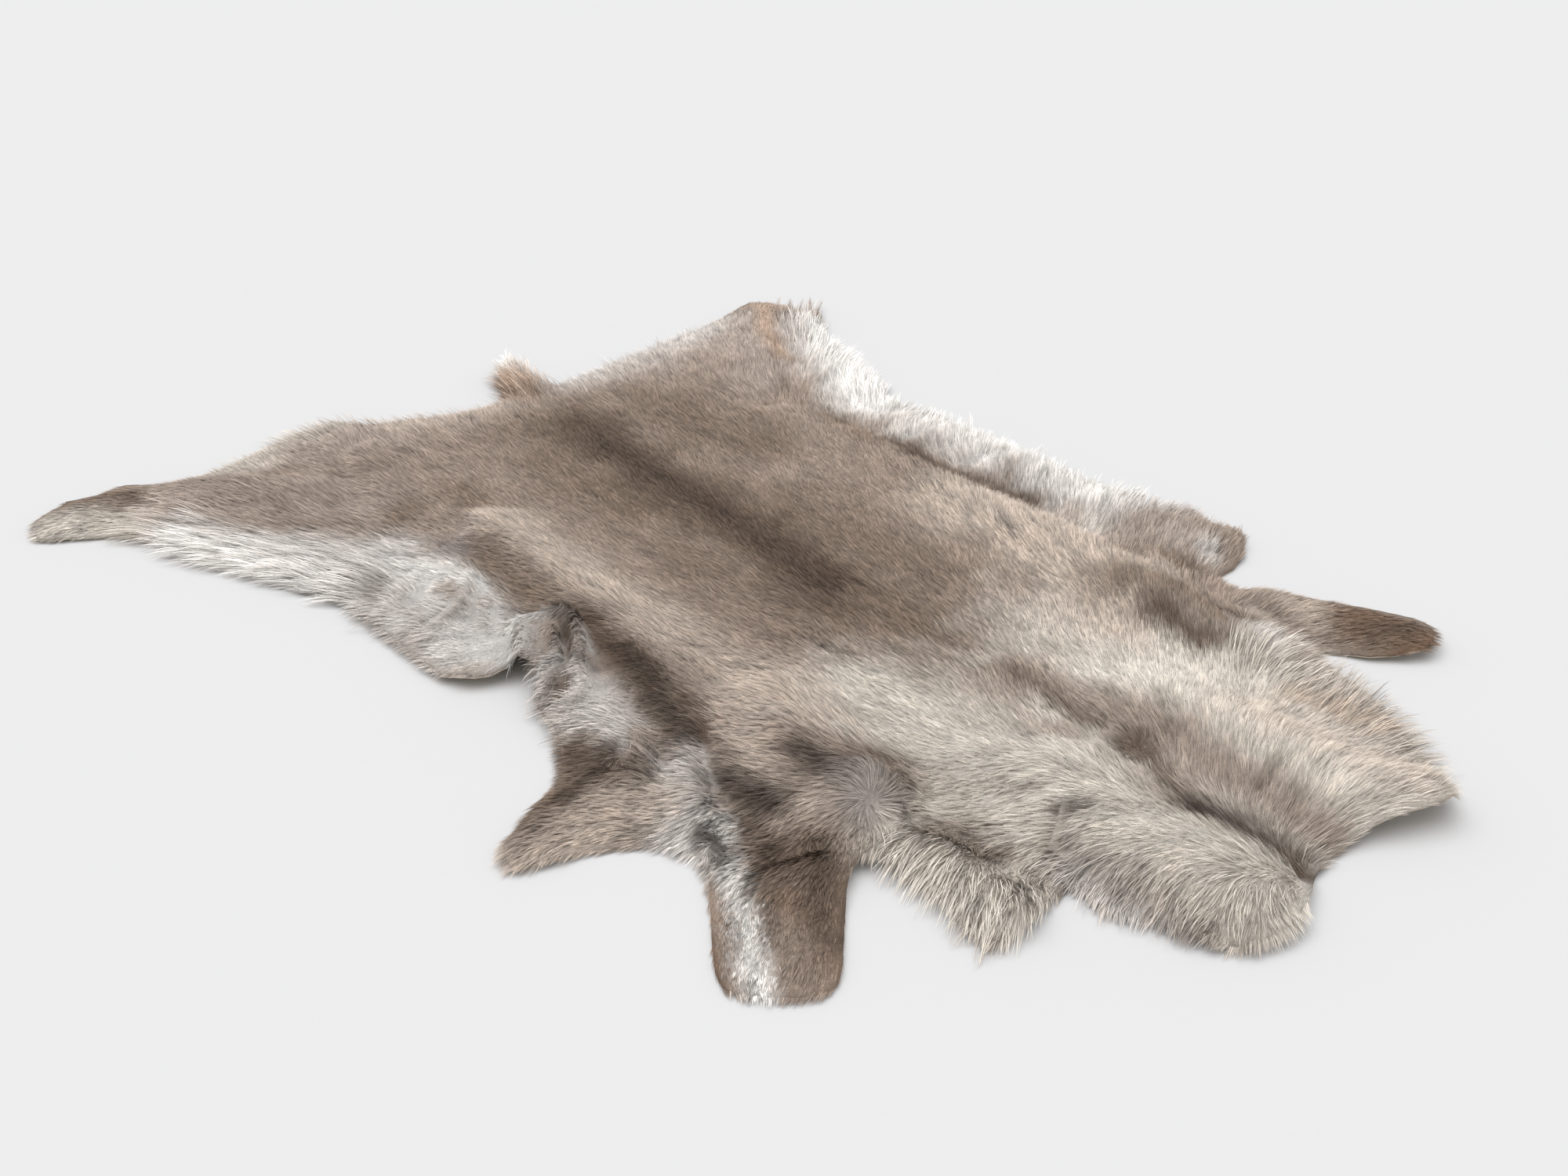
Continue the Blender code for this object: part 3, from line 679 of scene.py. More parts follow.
# %% Length of the hair
Hair = namedtuple("Hair", "place station side length lift")
HAIR = (
    Hair("rump", 0.10, 0.0, 0.015, 18), Hair("back", 0.50, 0.0, 0.013, 17),
    Hair("withers", 0.85, 0.0, 0.015, 17),
    Hair("right back", 0.50, -0.18, 0.013, 17), Hair("left back", 0.50, 0.16, 0.013, 17),
    Hair("right loin", 0.25, -0.20, 0.014, 17), Hair("right withers", 0.80, -0.15, 0.014, 17),
    Hair("nape", 1.05, 0.0, 0.017, 17), Hair("neck", 1.25, -0.03, 0.020, 22),
    Hair("left neck", 1.22, 0.12, 0.020, 14),
    Hair("right nape", 1.02, -0.14, 0.015, 17), Hair("right neck", 1.25, -0.12, 0.015, 16),
    Hair("right neck side", 1.25, -0.18, 0.018, 20), Hair("right throat", 1.18, -0.27, 0.022, 15),
    Hair("right shoulder", 0.95, -0.27, 0.017, 20), Hair("right flank", 0.60, -0.30, 0.018, 19),
    Hair("right belly", 0.48, -0.42, 0.015, 16), Hair("right pleat", 0.655, -0.37, 0.008, 14),
    Hair("right pocket", 0.71, -0.39, 0.009, 14), Hair("right elbow", 0.88, -0.50, 0.016, 15),
    Hair("right elbow root", 0.86, -0.42, 0.017, 20), Hair("right chest", 1.00, -0.39, 0.018, 20),
    Hair("right fore foot", 1.14, -0.46, 0.012, 11), Hair("right thigh", 0.10, -0.38, 0.015, 18),
    Hair("right hind foot", 0.0, -0.62, 0.012, 13), Hair("right groin", 0.25, -0.50, 0.026, 17),
    Hair("left flank", 0.60, 0.26, 0.018, 17), Hair("left belly", 0.60, 0.35, 0.026, 17),
    Hair("left elbow", 0.88, 0.38, 0.018, 18), Hair("left fore foot", 1.15, 0.35, 0.013, 11),
    Hair("left shoulder", 1.02, 0.20, 0.017, 20), Hair("left thigh", 0.10, 0.33, 0.017, 18),
    Hair("left hind foot", 0.0, 0.46, 0.014, 14), Hair("left groin", 0.20, 0.38, 0.028, 17),
    Hair("tail", -0.04, 0.015, 0.026, 12),
)
EDGE_DROOP_REACH = 0.022  # nearer the edge than this the hair lies down towards the floor
EDGE_DROOP = 14.0  # and it points this many degrees below the skin at the very edge
LIFT_WANDER = 9.0  # how many degrees the lift changes from tuft to tuft


def hair_field(places, column):
    """One column of the hair table, blended over the plan."""
    total, weights = np.zeros(len(places)), np.zeros(len(places))
    for row in HAIR:
        weight = nearness(places, row)
        total += weight * getattr(row, column)
        weights += weight
    return total / weights


fine_length = hair_field(fine_places, "length")
droop = swell(rim_distance, EDGE_DROOP_REACH)
tufts = LIFT_WANDER * (wander(fine_places, 32.0, 41.0) + 0.7 * wander(fine_places, 80.0, 43.0))
fine_lift = np.radians((hair_field(fine_places, "lift") + tufts) * (1 - droop) - EDGE_DROOP * droop)
print("hair is", round(fine_length.min(), 4), "to", round(fine_length.max(), 4), "m long")

# %% [markdown]
# The hair grows from a copy of the coat's surface a little below the underfur's top. It carries what every
# hair needs to know as named attributes: which way it lies, how long and how lifted it is, its colour.


# %% The surface that hair grows from
def surface_heights(share):
    """How high a share of the coat's depth stands at each place of the fine plan."""
    return fine_under + COAT_FOOT + (fine_depth - LEATHER) * share


def vertex_normals(points, faces):
    """The unit normal at each point of a triangle mesh."""
    a, b, c = points[faces[:, 0]], points[faces[:, 1]], points[faces[:, 2]]
    across = np.cross(b - a, c - a)
    normals = np.zeros_like(points)
    for corner in range(3):
        np.add.at(normals, faces[:, corner], across)
    return normals / np.linalg.norm(normals, axis=1)[:, None]


root_points = np.column_stack([fine_places, surface_heights(ROOTS_SHARE)])
root_normals = vertex_normals(root_points, fine_faces)
along = np.column_stack([fine_lie, np.zeros(len(fine_lie))])
along -= root_normals * np.sum(along * root_normals, axis=1)[:, None]
fine_comb = along / np.linalg.norm(along, axis=1)[:, None]


def write_values(mesh, label, kind, values):
    """Gives each vertex its value of a new named attribute."""
    field = {"FLOAT": "value", "FLOAT_VECTOR": "vector", "FLOAT_COLOR": "color"}[kind]
    mesh.attributes.new(label, kind, "POINT").data.foreach_set(field, np.asarray(values, np.float32).ravel())


def opaque(colours):
    """Colours with a fourth column of ones."""
    return np.column_stack([colours, np.ones(len(colours))])


def growing_surface(name, wanted, density, length):
    """The wanted faces of the root surface, as an object with its hair attributes."""
    faces = fine_faces[wanted]
    used, index = np.unique(faces, return_inverse=True)
    mesh = bpy.data.meshes.new(name)
    mesh.from_pydata(root_points[used].tolist(), [], index.reshape(-1, 3).tolist())
    for label, kind, values in (
        ("comb", "FLOAT_VECTOR", fine_comb[used]),
        ("hair_length", "FLOAT", length[used]),
        ("hair_lift", "FLOAT", fine_lift[used]),
        ("hair_density", "FLOAT", density[used]),
        ("coat", "FLOAT_COLOR", opaque(fine_colours[used])),
    ):
        write_values(mesh, label, kind, values)
    return put_in_scene(name, mesh)


corners = root_points[fine_faces]
crosses = np.cross(corners[:, 1] - corners[:, 0], corners[:, 2] - corners[:, 0])
face_areas = np.linalg.norm(crosses, axis=1) / 2
face_stations = corners[:, :, 0].mean(axis=1) + SPINE_MIDDLE
print("root surface:", round(face_areas.sum(), 3), "square metres")

# %% [markdown]
# Node trees, for shaders and for hair alike, are built by one small class. Any node comes from its add
# method: the type, then settings, then what goes into its sockets. A socket is wrapped so that numbers
# can be worked with as plain expressions, and each operator adds the Math node that it stands for.


# %% A small node builder
class Wire:
    """One output socket, with arithmetic on numbers."""

    def __init__(self, tree, socket):
        self.tree, self.socket = tree, socket

    def maths(self, operation, *values):
        node = self.tree.add("ShaderNodeMath", {"operation": operation}, dict(enumerate(values)))
        return node["Value"]

    def __add__(self, other):
        return self.maths("ADD", self, other)

    def __radd__(self, other):
        return self.maths("ADD", other, self)

    def __sub__(self, other):
        return self.maths("SUBTRACT", self, other)

    def __rsub__(self, other):
        return self.maths("SUBTRACT", other, self)

    def __mul__(self, other):
        return self.maths("MULTIPLY", self, other)

    def __rmul__(self, other):
        return self.maths("MULTIPLY", other, self)

    def __truediv__(self, other):
        return self.maths("DIVIDE", self, other)

    def __rtruediv__(self, other):
        return self.maths("DIVIDE", other, self)

    def __pow__(self, other):
        return self.maths("POWER", self, other)

    def clamped(self, low=0.0, high=1.0):
        return self.maths("MINIMUM", self.maths("MAXIMUM", self, low), high)


class Node:
    """A node whose outputs are read by name or place, as wires."""

    def __init__(self, tree, node):
        self.tree, self.node = tree, node

    def __getitem__(self, key):
        return Wire(self.tree, self.node.outputs[key])


class Tree:
    """A node tree that is added to node by node."""

    def __init__(self, group):
        self.group = group

    def add(self, kind, settings=None, inputs=None):
        node = self.group.nodes.new(kind)
        for name, value in (settings or {}).items():
            setattr(node, name, value)
        for name, value in (inputs or {}).items():
            self.feed(node.inputs[name], value)
        return Node(self, node)

    def feed(self, socket, value):
        if isinstance(value, Wire):
            self.group.links.new(value.socket, socket)
        else:
            socket.default_value = value

    def vector(self, operation, *values, output="Vector"):
        settings = {"operation": operation}
        slots = dict(enumerate(values))
        if operation == "SCALE":
            slots = {0: values[0], "Scale": values[1]}
        return self.add("ShaderNodeVectorMath", settings, slots)[output]

    def mix_colours(self, factor, first, second, blend="MIX"):
        settings = {"data_type": "RGBA", "blend_type": blend}
        return self.add("ShaderNodeMix", settings, {0: factor, 6: first, 7: second})[2]


print("node builder ready")

# %% [markdown]
# The tree that grows the hair scatters points over the surface and puts one blade on each. A second,
# sparser scatter gives the wisps: every hair leans towards the tip of the wisp nearest to it, which is
# what breaks an even pelt into the fine locks that real fur has. No tip is let through the floor.

# %% The hair tree
INPUTS = (
    ("Surface", "NodeSocketGeometry", None),
    ("Blade", "NodeSocketObject", None),
    ("Hairs per Square Metre", "NodeSocketFloat", 800000.0),
    ("Hair Width", "NodeSocketFloat", 0.0007),
    ("Wisp Spacing", "NodeSocketFloat", 0.0030),
    ("Wisp Pull", "NodeSocketFloat", 0.4),
    ("Wisp Sway", "NodeSocketFloat", 0.16),
    ("Wisp Shade", "NodeSocketFloat", 1.0),
    ("Stray", "NodeSocketFloat", 0.12),
    ("Colour Scatter", "NodeSocketFloat", 0.006),
    ("Floor Gap", "NodeSocketFloat", 0.0006),
    ("Seed", "NodeSocketInt", 1),
    ("Material", "NodeSocketMaterial", None),
)
LENGTH_SPREAD, WIDTH_SPREAD = (0.72, 1.18), (0.7, 1.3)  # from the least to the most, among single hairs
FLOOR_GAP_SPREAD = (1.0, 5.0)
ROLL = 0.35  # how far a hair's flat side turns away from the skin's normal


def hair_tree():
    """The Geometry Nodes tree that covers a surface with blades of hair."""
    group = bpy.data.node_groups.new("grow_hair", "GeometryNodeTree")
    for name, kind, default in INPUTS:
        socket = group.interface.new_socket(name, in_out="INPUT", socket_type=kind)
        if default is not None:
            socket.default_value = default
    group.interface.new_socket("Hair", in_out="OUTPUT", socket_type="NodeSocketGeometry")
    tree = Tree(group)
    given = tree.add("NodeGroupInput")
    seed = given["Seed"]

    def named(label, kind):
        return tree.add("GeometryNodeInputNamedAttribute", {"data_type": kind}, {"Name": label})["Attribute"]

    def chance(low, high, offset, kind="FLOAT"):
        outputs = {"FLOAT": 1, "FLOAT_VECTOR": 0}
        slots = {"FLOAT": (2, 3), "FLOAT_VECTOR": (0, 1)}[kind]
        inputs = {slots[0]: low, slots[1]: high, "Seed": seed + float(offset)}
        return tree.add("FunctionNodeRandomValue", {"data_type": kind}, inputs)[outputs[kind]]

    density = named("hair_density", "FLOAT") * given["Hairs per Square Metre"]
    scatter = tree.add("GeometryNodeDistributePointsOnFaces", {"distribute_method": "RANDOM"},
                       {"Mesh": given["Surface"], "Density": density, "Seed": seed})
    spacing = given["Wisp Spacing"]
    wisps = tree.add("GeometryNodeDistributePointsOnFaces", {"distribute_method": "RANDOM"},
                     {"Mesh": given["Surface"], "Density": 1.0 / (spacing * spacing), "Seed": seed + 1.0})
    kept_normal = tree.add("GeometryNodeStoreNamedAttribute",
                           {"data_type": "FLOAT_VECTOR", "domain": "POINT"},
                           {"Geometry": scatter["Points"], "Name": "up", "Value": scatter["Normal"]})
    place = tree.add("GeometryNodeInputPosition")["Position"]
    comb, up = named("comb", "FLOAT_VECTOR"), named("up", "FLOAT_VECTOR")
    length, lift = named("hair_length", "FLOAT"), named("hair_lift", "FLOAT")

    def nearest_wisp(where):
        inputs = {"Geometry": wisps["Points"], "Sample Position": where}
        return tree.add("GeometryNodeSampleNearest", {"domain": "POINT"}, inputs)["Index"]

    def from_wisp(value, kind, index):
        inputs = {"Geometry": wisps["Points"], "Value": value, "Index": index}
        return tree.add("GeometryNodeSampleIndex", {"data_type": kind, "domain": "POINT"}, inputs)["Value"]

    def three(x, y, z):
        return tree.add("ShaderNodeCombineXYZ", None, {"X": x, "Y": y, "Z": z})["Vector"]

    any_way = ((-1, -1, -1), (1, 1, 1))
    own_wisp = nearest_wisp(place)
    wisp_place = from_wisp(place, "FLOAT_VECTOR", own_wisp)
    sway = from_wisp(chance(*any_way, 9, "FLOAT_VECTOR"), "FLOAT_VECTOR", own_wisp)
    wisp_sway = tree.vector("SCALE", sway, given["Wisp Sway"])
    rise = tree.vector("SCALE", up, lift.maths("SINE", lift))
    run = tree.vector("SCALE", comb, lift.maths("COSINE", lift))
    combed = tree.vector("ADD", tree.vector("ADD", rise, run), wisp_sway)
    jitter = tree.vector("SCALE", chance(*any_way, 3, "FLOAT_VECTOR"), given["Stray"])
    own_length = length * chance(*LENGTH_SPREAD, 2)
    tip = tree.vector("ADD", place, tree.vector("SCALE", tree.vector("ADD", combed, jitter), own_length))
    wisp_tip = tree.vector("ADD", wisp_place, tree.vector("SCALE", combed, length))
    pull = {0: given["Wisp Pull"], 4: tip, 5: wisp_tip}
    drawn = tree.add("ShaderNodeMix", {"data_type": "VECTOR"}, pull)[1]
    parts = tree.add("ShaderNodeSeparateXYZ", None, {0: drawn})
    tip_z = parts["Z"].maths("MAXIMUM", parts["Z"], given["Floor Gap"] * chance(*FLOOR_GAP_SPREAD, 4))
    clear_tip = three(parts["X"], parts["Y"], tip_z)
    hair = tree.vector("SUBTRACT", clear_tip, place)
    reach = tree.vector("LENGTH", hair, output="Value")
    roll = tree.vector("ADD", up, tree.vector("SCALE", chance(*any_way, 5, "FLOAT_VECTOR"), ROLL))
    turn = tree.add("FunctionNodeAxesToRotation", {"primary_axis": "X", "secondary_axis": "Z"},
                    {"Primary Axis": hair, "Secondary Axis": roll})["Rotation"]
    width = given["Hair Width"] * chance(*WIDTH_SPREAD, 6)
    size = three(reach, width, reach)

    # A wisp takes its colour from a little way off, so that patches end in streaks and not in lines.
    astray = from_wisp(chance(*any_way, 10, "FLOAT_VECTOR"), "FLOAT_VECTOR", own_wisp)
    scatter_by = tree.vector("SCALE", astray, given["Colour Scatter"])
    other_wisp = nearest_wisp(tree.vector("ADD", wisp_place, scatter_by))
    labels = (
        ("coat", "FLOAT_COLOR", from_wisp(named("coat", "FLOAT_COLOR"), "FLOAT_COLOR", other_wisp)),
        ("strand", "FLOAT", chance(0.0, 1.0, 7)),
        ("wisp", "FLOAT",
         0.5 + (from_wisp(chance(0.0, 1.0, 8), "FLOAT", own_wisp) - 0.5) * given["Wisp Shade"]),
    )
    labelled = kept_normal["Geometry"]
    for label, kind, value in labels:
        labelled = tree.add("GeometryNodeStoreNamedAttribute", {"data_type": kind, "domain": "POINT"},
                            {"Geometry": labelled, "Name": label, "Value": value})["Geometry"]
    blade = tree.add("GeometryNodeObjectInfo", None, {"Object": given["Blade"]})["Geometry"]
    planted = tree.add("GeometryNodeInstanceOnPoints", None,
                       {"Points": labelled, "Instance": blade, "Rotation": turn, "Scale": size})["Instances"]
    real = tree.add("GeometryNodeRealizeInstances", None, {"Geometry": planted})["Geometry"]
    finished = tree.add("GeometryNodeSetMaterial", None, {"Geometry": real, "Material": given["Material"]})
    out = tree.add("NodeGroupOutput")
    group.links.new(finished["Geometry"].socket, out.node.inputs["Hair"])
    return group


grow_hair = hair_tree()
print("hair tree:", len(grow_hair.nodes), "nodes")

# %% [markdown]
# The finishes. Hair, underfur and leather are all soft and matt. A hair is darker at its root than at its
# tip, painted shade of the coat over it and partly the root's own colour, and no two hairs or wisps are
# quite the same shade. The underfur is the same coat in shadow, and the leather is a pale, brushed,
# alum-tanned skin.


# %% Finishes
def finish_of(name, roughness, sheen=0.0, specular=0.5):
    """A new matt material, its tree and its shader node."""
    material = bpy.data.materials.new(name)
    material.use_nodes = True
    shader = material.node_tree.nodes["Principled BSDF"]
    shader.inputs["Roughness"].default_value = roughness
    shader.inputs["Sheen Weight"].default_value = sheen
    shader.inputs["Specular IOR Level"].default_value = specular
    return material, Tree(material.node_tree), shader


# A hair's darker root is painted shade of the coat over it, partly the root's own colour; pale hair gets
# less of it.
HAIR_ROOT_SHADE, HAIR_TIP_SHADE = 0.46, 1.20
PALE_ROOT_GAIN = 0.40  # pale hair is pale down to its root
STRAND_CONTRAST, WISP_CONTRAST = 0.70, 0.65
HAIR_BRIGHTNESS = 1.25
TIP_PALENESS, PALE_TIP = 0.14, (0.47, 0.41, 0.35, 1.0)
hair_finish, tree, shader = finish_of("reindeer_hair", 0.75, specular=0.25)
coat = tree.add("ShaderNodeAttribute", {"attribute_name": "coat"})["Color"]
along_hair, strand, wisp = (tree.add("ShaderNodeAttribute", {"attribute_name": label})["Fac"]
                            for label in ("along", "strand", "wisp"))
tips = tree.mix_colours(along_hair * along_hair * TIP_PALENESS, coat, PALE_TIP)
paleness = tree.add("ShaderNodeSeparateColor", None, {"Color": coat})["Green"]
root_shade = HAIR_ROOT_SHADE + paleness * PALE_ROOT_GAIN
shade = root_shade + along_hair * (HAIR_TIP_SHADE - root_shade)
shade = shade * (1 - STRAND_CONTRAST / 2 + strand * STRAND_CONTRAST)
shade = shade * (1 - WISP_CONTRAST / 2 + wisp * WISP_CONTRAST)
tree.feed(shader.inputs["Base Color"], tree.vector("SCALE", tips, shade * HAIR_BRIGHTNESS))

UNDERFUR_SHADE = 0.75
underfur_finish, tree, shader = finish_of("underfur", 0.95, specular=0.1)
coat = tree.add("ShaderNodeAttribute", {"attribute_name": "coat"})["Color"]
place = tree.add("ShaderNodeTexCoord")["Object"]
fluff = tree.add("ShaderNodeTexNoise", None, {"Vector": place, "Scale": 420.0, "Detail": 4.0})["Fac"]
tree.feed(shader.inputs["Base Color"], tree.vector("SCALE", coat, (0.55 + fluff * 0.9) * UNDERFUR_SHADE))
bump = tree.add("ShaderNodeBump", None, {"Strength": 0.6, "Distance": 0.002, "Height": fluff})
tree.feed(shader.inputs["Normal"], bump["Normal"])

SUEDE = (0.66, 0.58, 0.47, 1.0)
SUEDE_DARK = (0.50, 0.42, 0.32, 1.0)
leather_finish, tree, shader = finish_of("tanned_leather", 0.85, specular=0.2)
place = tree.add("ShaderNodeTexCoord")["Object"]
clouds = tree.add("ShaderNodeTexNoise", None, {"Vector": place, "Scale": 9.0, "Detail": 5.0})["Fac"]
nap = tree.add("ShaderNodeTexNoise", None, {"Vector": place, "Scale": 300.0, "Detail": 3.0})["Fac"]
tree.feed(shader.inputs["Base Color"], tree.mix_colours((clouds * 1.6 - 0.4).clamped(), SUEDE, SUEDE_DARK))
bump = tree.add("ShaderNodeBump", None, {"Strength": 0.4, "Distance": 0.0008, "Height": nap})
tree.feed(shader.inputs["Normal"], bump["Normal"])
print("finishes:", [finish.name for finish in (hair_finish, underfur_finish, leather_finish)])

# %% [markdown]
# A short hair is a blade of one narrow triangle, because there are hundreds of thousands of them. The long
# hair of the fringes is an arched blade of five triangles, so that it can bend over the hide's edge. A
# blade is one unit long and one wide, and the tree scales it.


# %% Blades
TAPER = 0.45  # how much narrower a blade gets along its length, before its point


def blade(name, stops, arch):
    """A blade through the stops along its length, with how far along it each vertex is kept in it."""
    vertices, faces, shares = [], [], []
    for stop in stops[:-1]:
        half = 0.5 * (1 - TAPER * stop)
        height = arch * sin(pi * stop)
        vertices += [(stop, -half, height), (stop, half, height)]
        shares += [stop, stop]
    vertices.append((1.0, 0.0, 0.0))
    shares.append(1.0)
    for first in range(0, len(vertices) - 3, 2):
        faces += [(first, first + 2, first + 1), (first + 1, first + 2, first + 3)]
    last = len(vertices) - 1
    faces.append((last - 2, last, last - 1))
    mesh = bpy.data.meshes.new(name)
    mesh.from_pydata(vertices, [], faces)
    write_values(mesh, "along", "FLOAT", shares)
    return put_in_scene(name, mesh)


short_blade = blade("short_blade", (0.0, 1.0), 0.0)
long_blade = blade("long_blade", (0.0, 0.35, 0.7, 1.0), 0.10)
print("blades:", len(short_blade.data.polygons), "and", len(long_blade.data.polygons), "triangles")

# %% [markdown]
# The modifier runs on each growing surface, and its result is kept as a plain mesh. Every hair then gets
# a little patch of its own in a texture map, in rows, so that a baked colour can't run from one to another.


# %% Growing the hair
KEPT_ATTRIBUTES = ("coat", "along", "strand", "wisp", "position", "material_index", "sharp_face")
CELL_SCALE, CELL_START = (0.9, 0.8), (0.05, 0.5)  # where a hair lies in its square of the texture map


def remove_thing(thing):
    """Takes an object and its mesh away."""
    mesh = thing.data
    bpy.data.objects.remove(thing)
    bpy.data.meshes.remove(mesh)


def map_hairs(mesh, blade_mesh):
    """A texture map in which each hair has a small square of its own."""
    per_hair = len(blade_mesh.vertices)
    hairs = len(mesh.vertices) // per_hair
    side = int(np.ceil(np.sqrt(hairs)))
    shape = np.zeros(per_hair * 3)
    blade_mesh.vertices.foreach_get("co", shape)
    shape = shape.reshape(-1, 3)[:, :2] * CELL_SCALE + CELL_START
    corner = np.zeros(len(mesh.loops), np.int32)
    mesh.loops.foreach_get("vertex_index", corner)
    hair, part = corner // per_hair, corner % per_hair
    places = np.column_stack([hair % side, hair // side]) + shape[part]
    layer = mesh.uv_layers.new(name="OFBake")
    layer.data.foreach_set("uv", (places / side).astype(np.float32).ravel())


def grow(name, wanted, density, length, blade_object, **settings):
    """A piece of fur: hair grown from the wanted faces, as one plain mesh."""
    surface = growing_surface(name + "_surface", wanted, density, length)
    modifier = surface.modifiers.new("hair", "NODES")
    modifier.node_group = grow_hair
    sockets = {item.name: item.identifier for item in grow_hair.interface.items_tree
               if item.in_out == "INPUT"}
    for label, value in {"Blade": blade_object, "Material": hair_finish, **settings}.items():
        modifier[sockets[label]] = value
    depsgraph = bpy.context.evaluated_depsgraph_get()
    mesh = bpy.data.meshes.new_from_object(surface.evaluated_get(depsgraph))
    surface.modifiers.remove(modifier)
    remove_thing(surface)
    mesh.name = name
    spare = [a.name for a in mesh.attributes if a.name not in KEPT_ATTRIBUTES and not a.is_internal]
    for label in spare:
        mesh.attributes.remove(mesh.attributes[label])
    map_hairs(mesh, blade_object.data)
    piece = put_in_scene(name, mesh)
    print(name, "has", len(mesh.polygons), "triangles")
    return piece


THINNING = 1.0
COAT_DENSITY, COAT_HAIR_WIDTH = 660000.0 * THINNING, 0.0007 / sqrt(THINNING)
Zone = namedtuple("Zone", "name start end wisp_shade")
ZONES = (
    Zone("fur_rump", -1.0, 0.15, 0.8), Zone("fur_loin", 0.15, 0.43, 0.8), Zone("fur_back", 0.43, 0.70, 0.85),
    Zone("fur_shoulder", 0.70, 0.98, 1.0), Zone("fur_neck", 0.98, 9.0, 0.65),
)
full = np.ones(len(root_points))
fur_pieces = []
for number, zone in enumerate(ZONES):
    wanted = (face_stations >= zone.start) & (face_stations < zone.end)
    fur_pieces.append(grow(zone.name, wanted, full, fine_length, short_blade, **{
        "Hairs per Square Metre": COAT_DENSITY, "Seed": 10 * number + 1, "Wisp Shade": zone.wisp_shade,
        "Hair Width": COAT_HAIR_WIDTH}))

# %% [markdown]
# The fringes: long pale hair that hangs from the belly's edges, behind the thighs, from the neck's left
# side and the throat, and from the tail. It is sparser than the coat and gathers into thicker wisps.

# %% Fringes
Fringe = namedtuple("Fringe", "name route width length density")
FRINGES = (
    Fringe("right groin", ((0.12, -0.54), (0.24, -0.495), (0.37, -0.445)), 0.045, 0.050, 1.0),
    Fringe("right belly", ((0.36, -0.45), (0.45, -0.47)), 0.030, 0.030, 0.5),
    Fringe("right thigh", ((-0.02, -0.42), (0.10, -0.42)), 0.030, 0.024, 0.25),
    Fringe("left groin", ((0.07, 0.455), (0.20, 0.40), (0.33, 0.36)), 0.045, 0.050, 1.0),
    Fringe("left belly", ((0.36, 0.36), (0.56, 0.365), (0.72, 0.37), (0.80, 0.385)), 0.035, 0.036, 0.8),
    Fringe("rump",
           ((-0.04, -0.32), (-0.02, -0.22), (0.0, -0.08), (0.0, 0.10), (-0.03, 0.28)), 0.030, 0.034, 0.6),
    Fringe("tail", ((0.02, 0.0), (-0.07, 0.025)), 0.035, 0.050, 1.0),
    Fringe("left neck", ((1.10, 0.20), (1.20, 0.20), (1.32, 0.17)), 0.032, 0.040, 0.6),
    Fringe("neck end", ((1.34, -0.14), (1.345, 0.0), (1.34, 0.14)), 0.024, 0.026, 0.4),
    Fringe("right neck", ((1.20, -0.20), (1.32, -0.19)), 0.026, 0.028, 0.5),
    Fringe("throat", ((1.12, -0.29), (1.20, -0.305), (1.235, -0.28)), 0.034, 0.038, 0.7),
    Fringe("right armpit", ((0.66, -0.40), (0.76, -0.40), (0.84, -0.39)), 0.028, 0.024, 0.4),
    Fringe("left elbow", ((0.84, 0.39), (0.92, 0.40)), 0.030, 0.026, 0.4),
)
FRINGE_FADE = 1.5  # a fringe thins out at this many of its widths from its route
FRINGE_LENGTH = 0.03  # between the fringes' own lengths
LEAST_FRINGE = 0.02
FRINGE_SEED = 70


def fringe_fields(places):
    """How dense and how long the fringe hair is at each place."""
    density, length = np.zeros(len(places)), np.full(len(places), FRINGE_LENGTH)
    for fringe in FRINGES:
        distance, _ = route_distance(places, from_tail(fringe.route))
        share = fringe.density * swell(distance, fringe.width * FRINGE_FADE)
        length = np.where(share > density, fringe.length, length)
        density = np.maximum(density, share)
    return density, length


fringe_density, fringe_length = fringe_fields(fine_places)
FRINGE_DENSITY, FRINGE_HAIR_WIDTH = 130000.0 * THINNING, 0.0008 / sqrt(THINNING)
has_fringe = (fringe_density > LEAST_FRINGE)[fine_faces].any(axis=1)
for name, sides in (("fringe_right", -1), ("fringe_left", 1)):
    on_side = corners[:, :, 1].mean(axis=1) * sides > 0
    fur_pieces.append(grow(name, has_fringe & on_side, fringe_density, fringe_length, long_blade, **{
        "Hairs per Square Metre": FRINGE_DENSITY, "Seed": FRINGE_SEED + sides,
        "Hair Width": FRINGE_HAIR_WIDTH,
        "Wisp Spacing": 0.007, "Wisp Pull": 0.5, "Wisp Sway": 0.18, "Wisp Shade": 0.3, "Stray": 0.16}))
for thing in (short_blade, long_blade):
    remove_thing(thing)

# %% [markdown]
# The underfur and the leather take their place: the underfur is painted with the coat's colours.


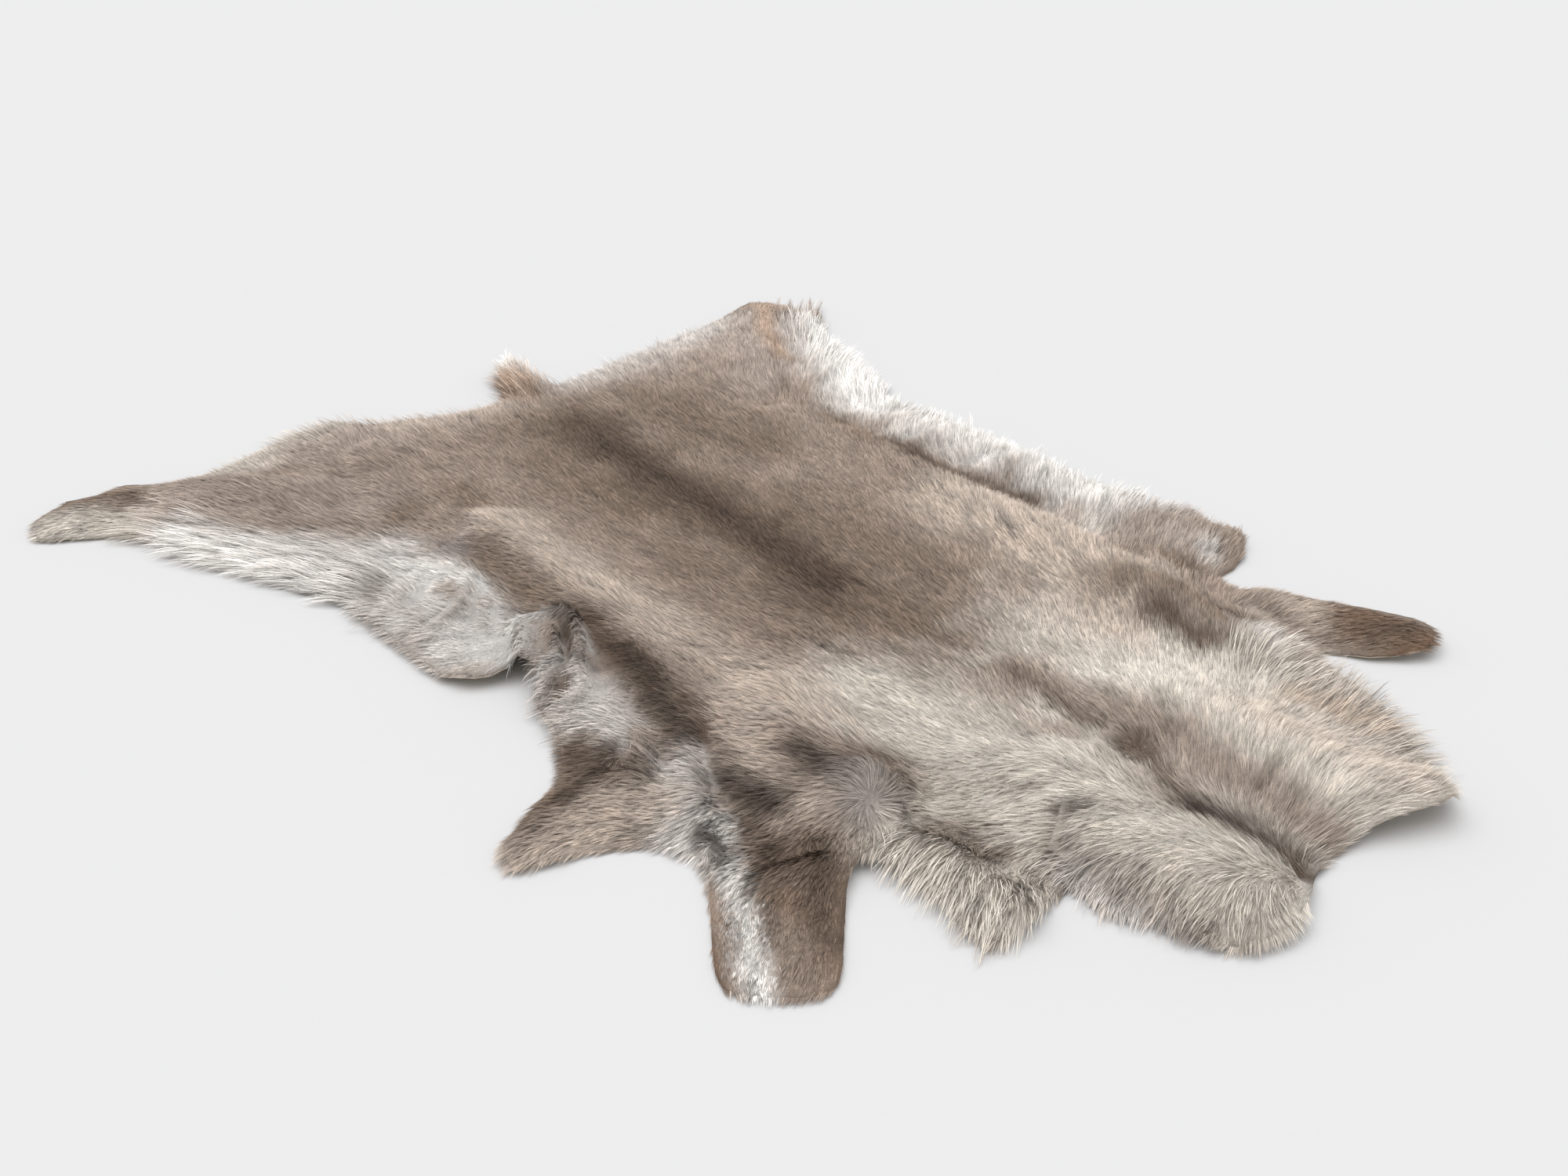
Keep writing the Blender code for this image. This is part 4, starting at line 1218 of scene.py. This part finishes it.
# %% Painting the underfur
def paint(piece):
    """Gives each vertex the coat's colour there."""
    mesh = piece.data
    places = np.zeros(len(mesh.vertices) * 3)
    mesh.vertices.foreach_get("co", places)
    write_values(mesh, "coat", "FLOAT_COLOR", opaque(coat_colours(places.reshape(-1, 3)[:, :2])))


paint(underfur)
underfur.data.materials.append(underfur_finish)
leather.data.materials.append(leather_finish)
print("underfur painted")

# %% [markdown]
# A wide pale floor, an even white surround, and one large soft lamp almost straight above the hide.

# %% Floor and light
FLOOR_SIZE = 30.0
FLOOR_COLOUR = (0.64, 0.64, 0.645, 1.0)
SURROUND_STRENGTH = 0.68
LAMP_STRENGTH, LAMP_SPREAD = 2.05, radians(75)
floor_mesh = bpy.data.meshes.new("floor")
half = FLOOR_SIZE / 2
floor_corners = [(-half, -half, 0), (half, -half, 0), (half, half, 0), (-half, half, 0)]
floor_mesh.from_pydata(floor_corners, [], [(0, 1, 2, 3)])
floor = put_in_scene("floor", floor_mesh)
floor_finish, tree, shader = finish_of("pale_floor", 0.9, specular=0.1)
shader.inputs["Base Color"].default_value = FLOOR_COLOUR
floor_mesh.materials.append(floor_finish)

world = bpy.data.worlds.new("studio")
bpy.context.scene.world = world
world.use_nodes = True
surround = world.node_tree.nodes["Background"]
surround.inputs["Color"].default_value = (1.0, 1.0, 1.0, 1.0)
surround.inputs["Strength"].default_value = SURROUND_STRENGTH

lamp_data = bpy.data.lights.new("softbox", "SUN")
lamp_data.energy = LAMP_STRENGTH
lamp_data.angle = LAMP_SPREAD
lamp = put_in_scene("softbox", lamp_data)
lamp.location = (-0.15, -0.25, 2.6)
lamp.rotation_euler = (-Vector(lamp.location)).to_track_quat("-Z", "Y").to_euler()
bpy.context.scene.view_settings.view_transform = "Standard"
print("floor", FLOOR_SIZE, "m wide")

# %% [markdown]
# Last, each piece is tied to the hide's solid: it rides the one body, and the imported solid is hidden.

# %% Tie the pieces to the frame
for piece in [leather, underfur, *fur_pieces]:
    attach(piece, BODY)
    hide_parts(HIDE)
added = sum(len(piece.data.polygons) for piece in [leather, underfur, *fur_pieces])
print("triangles added:", added)
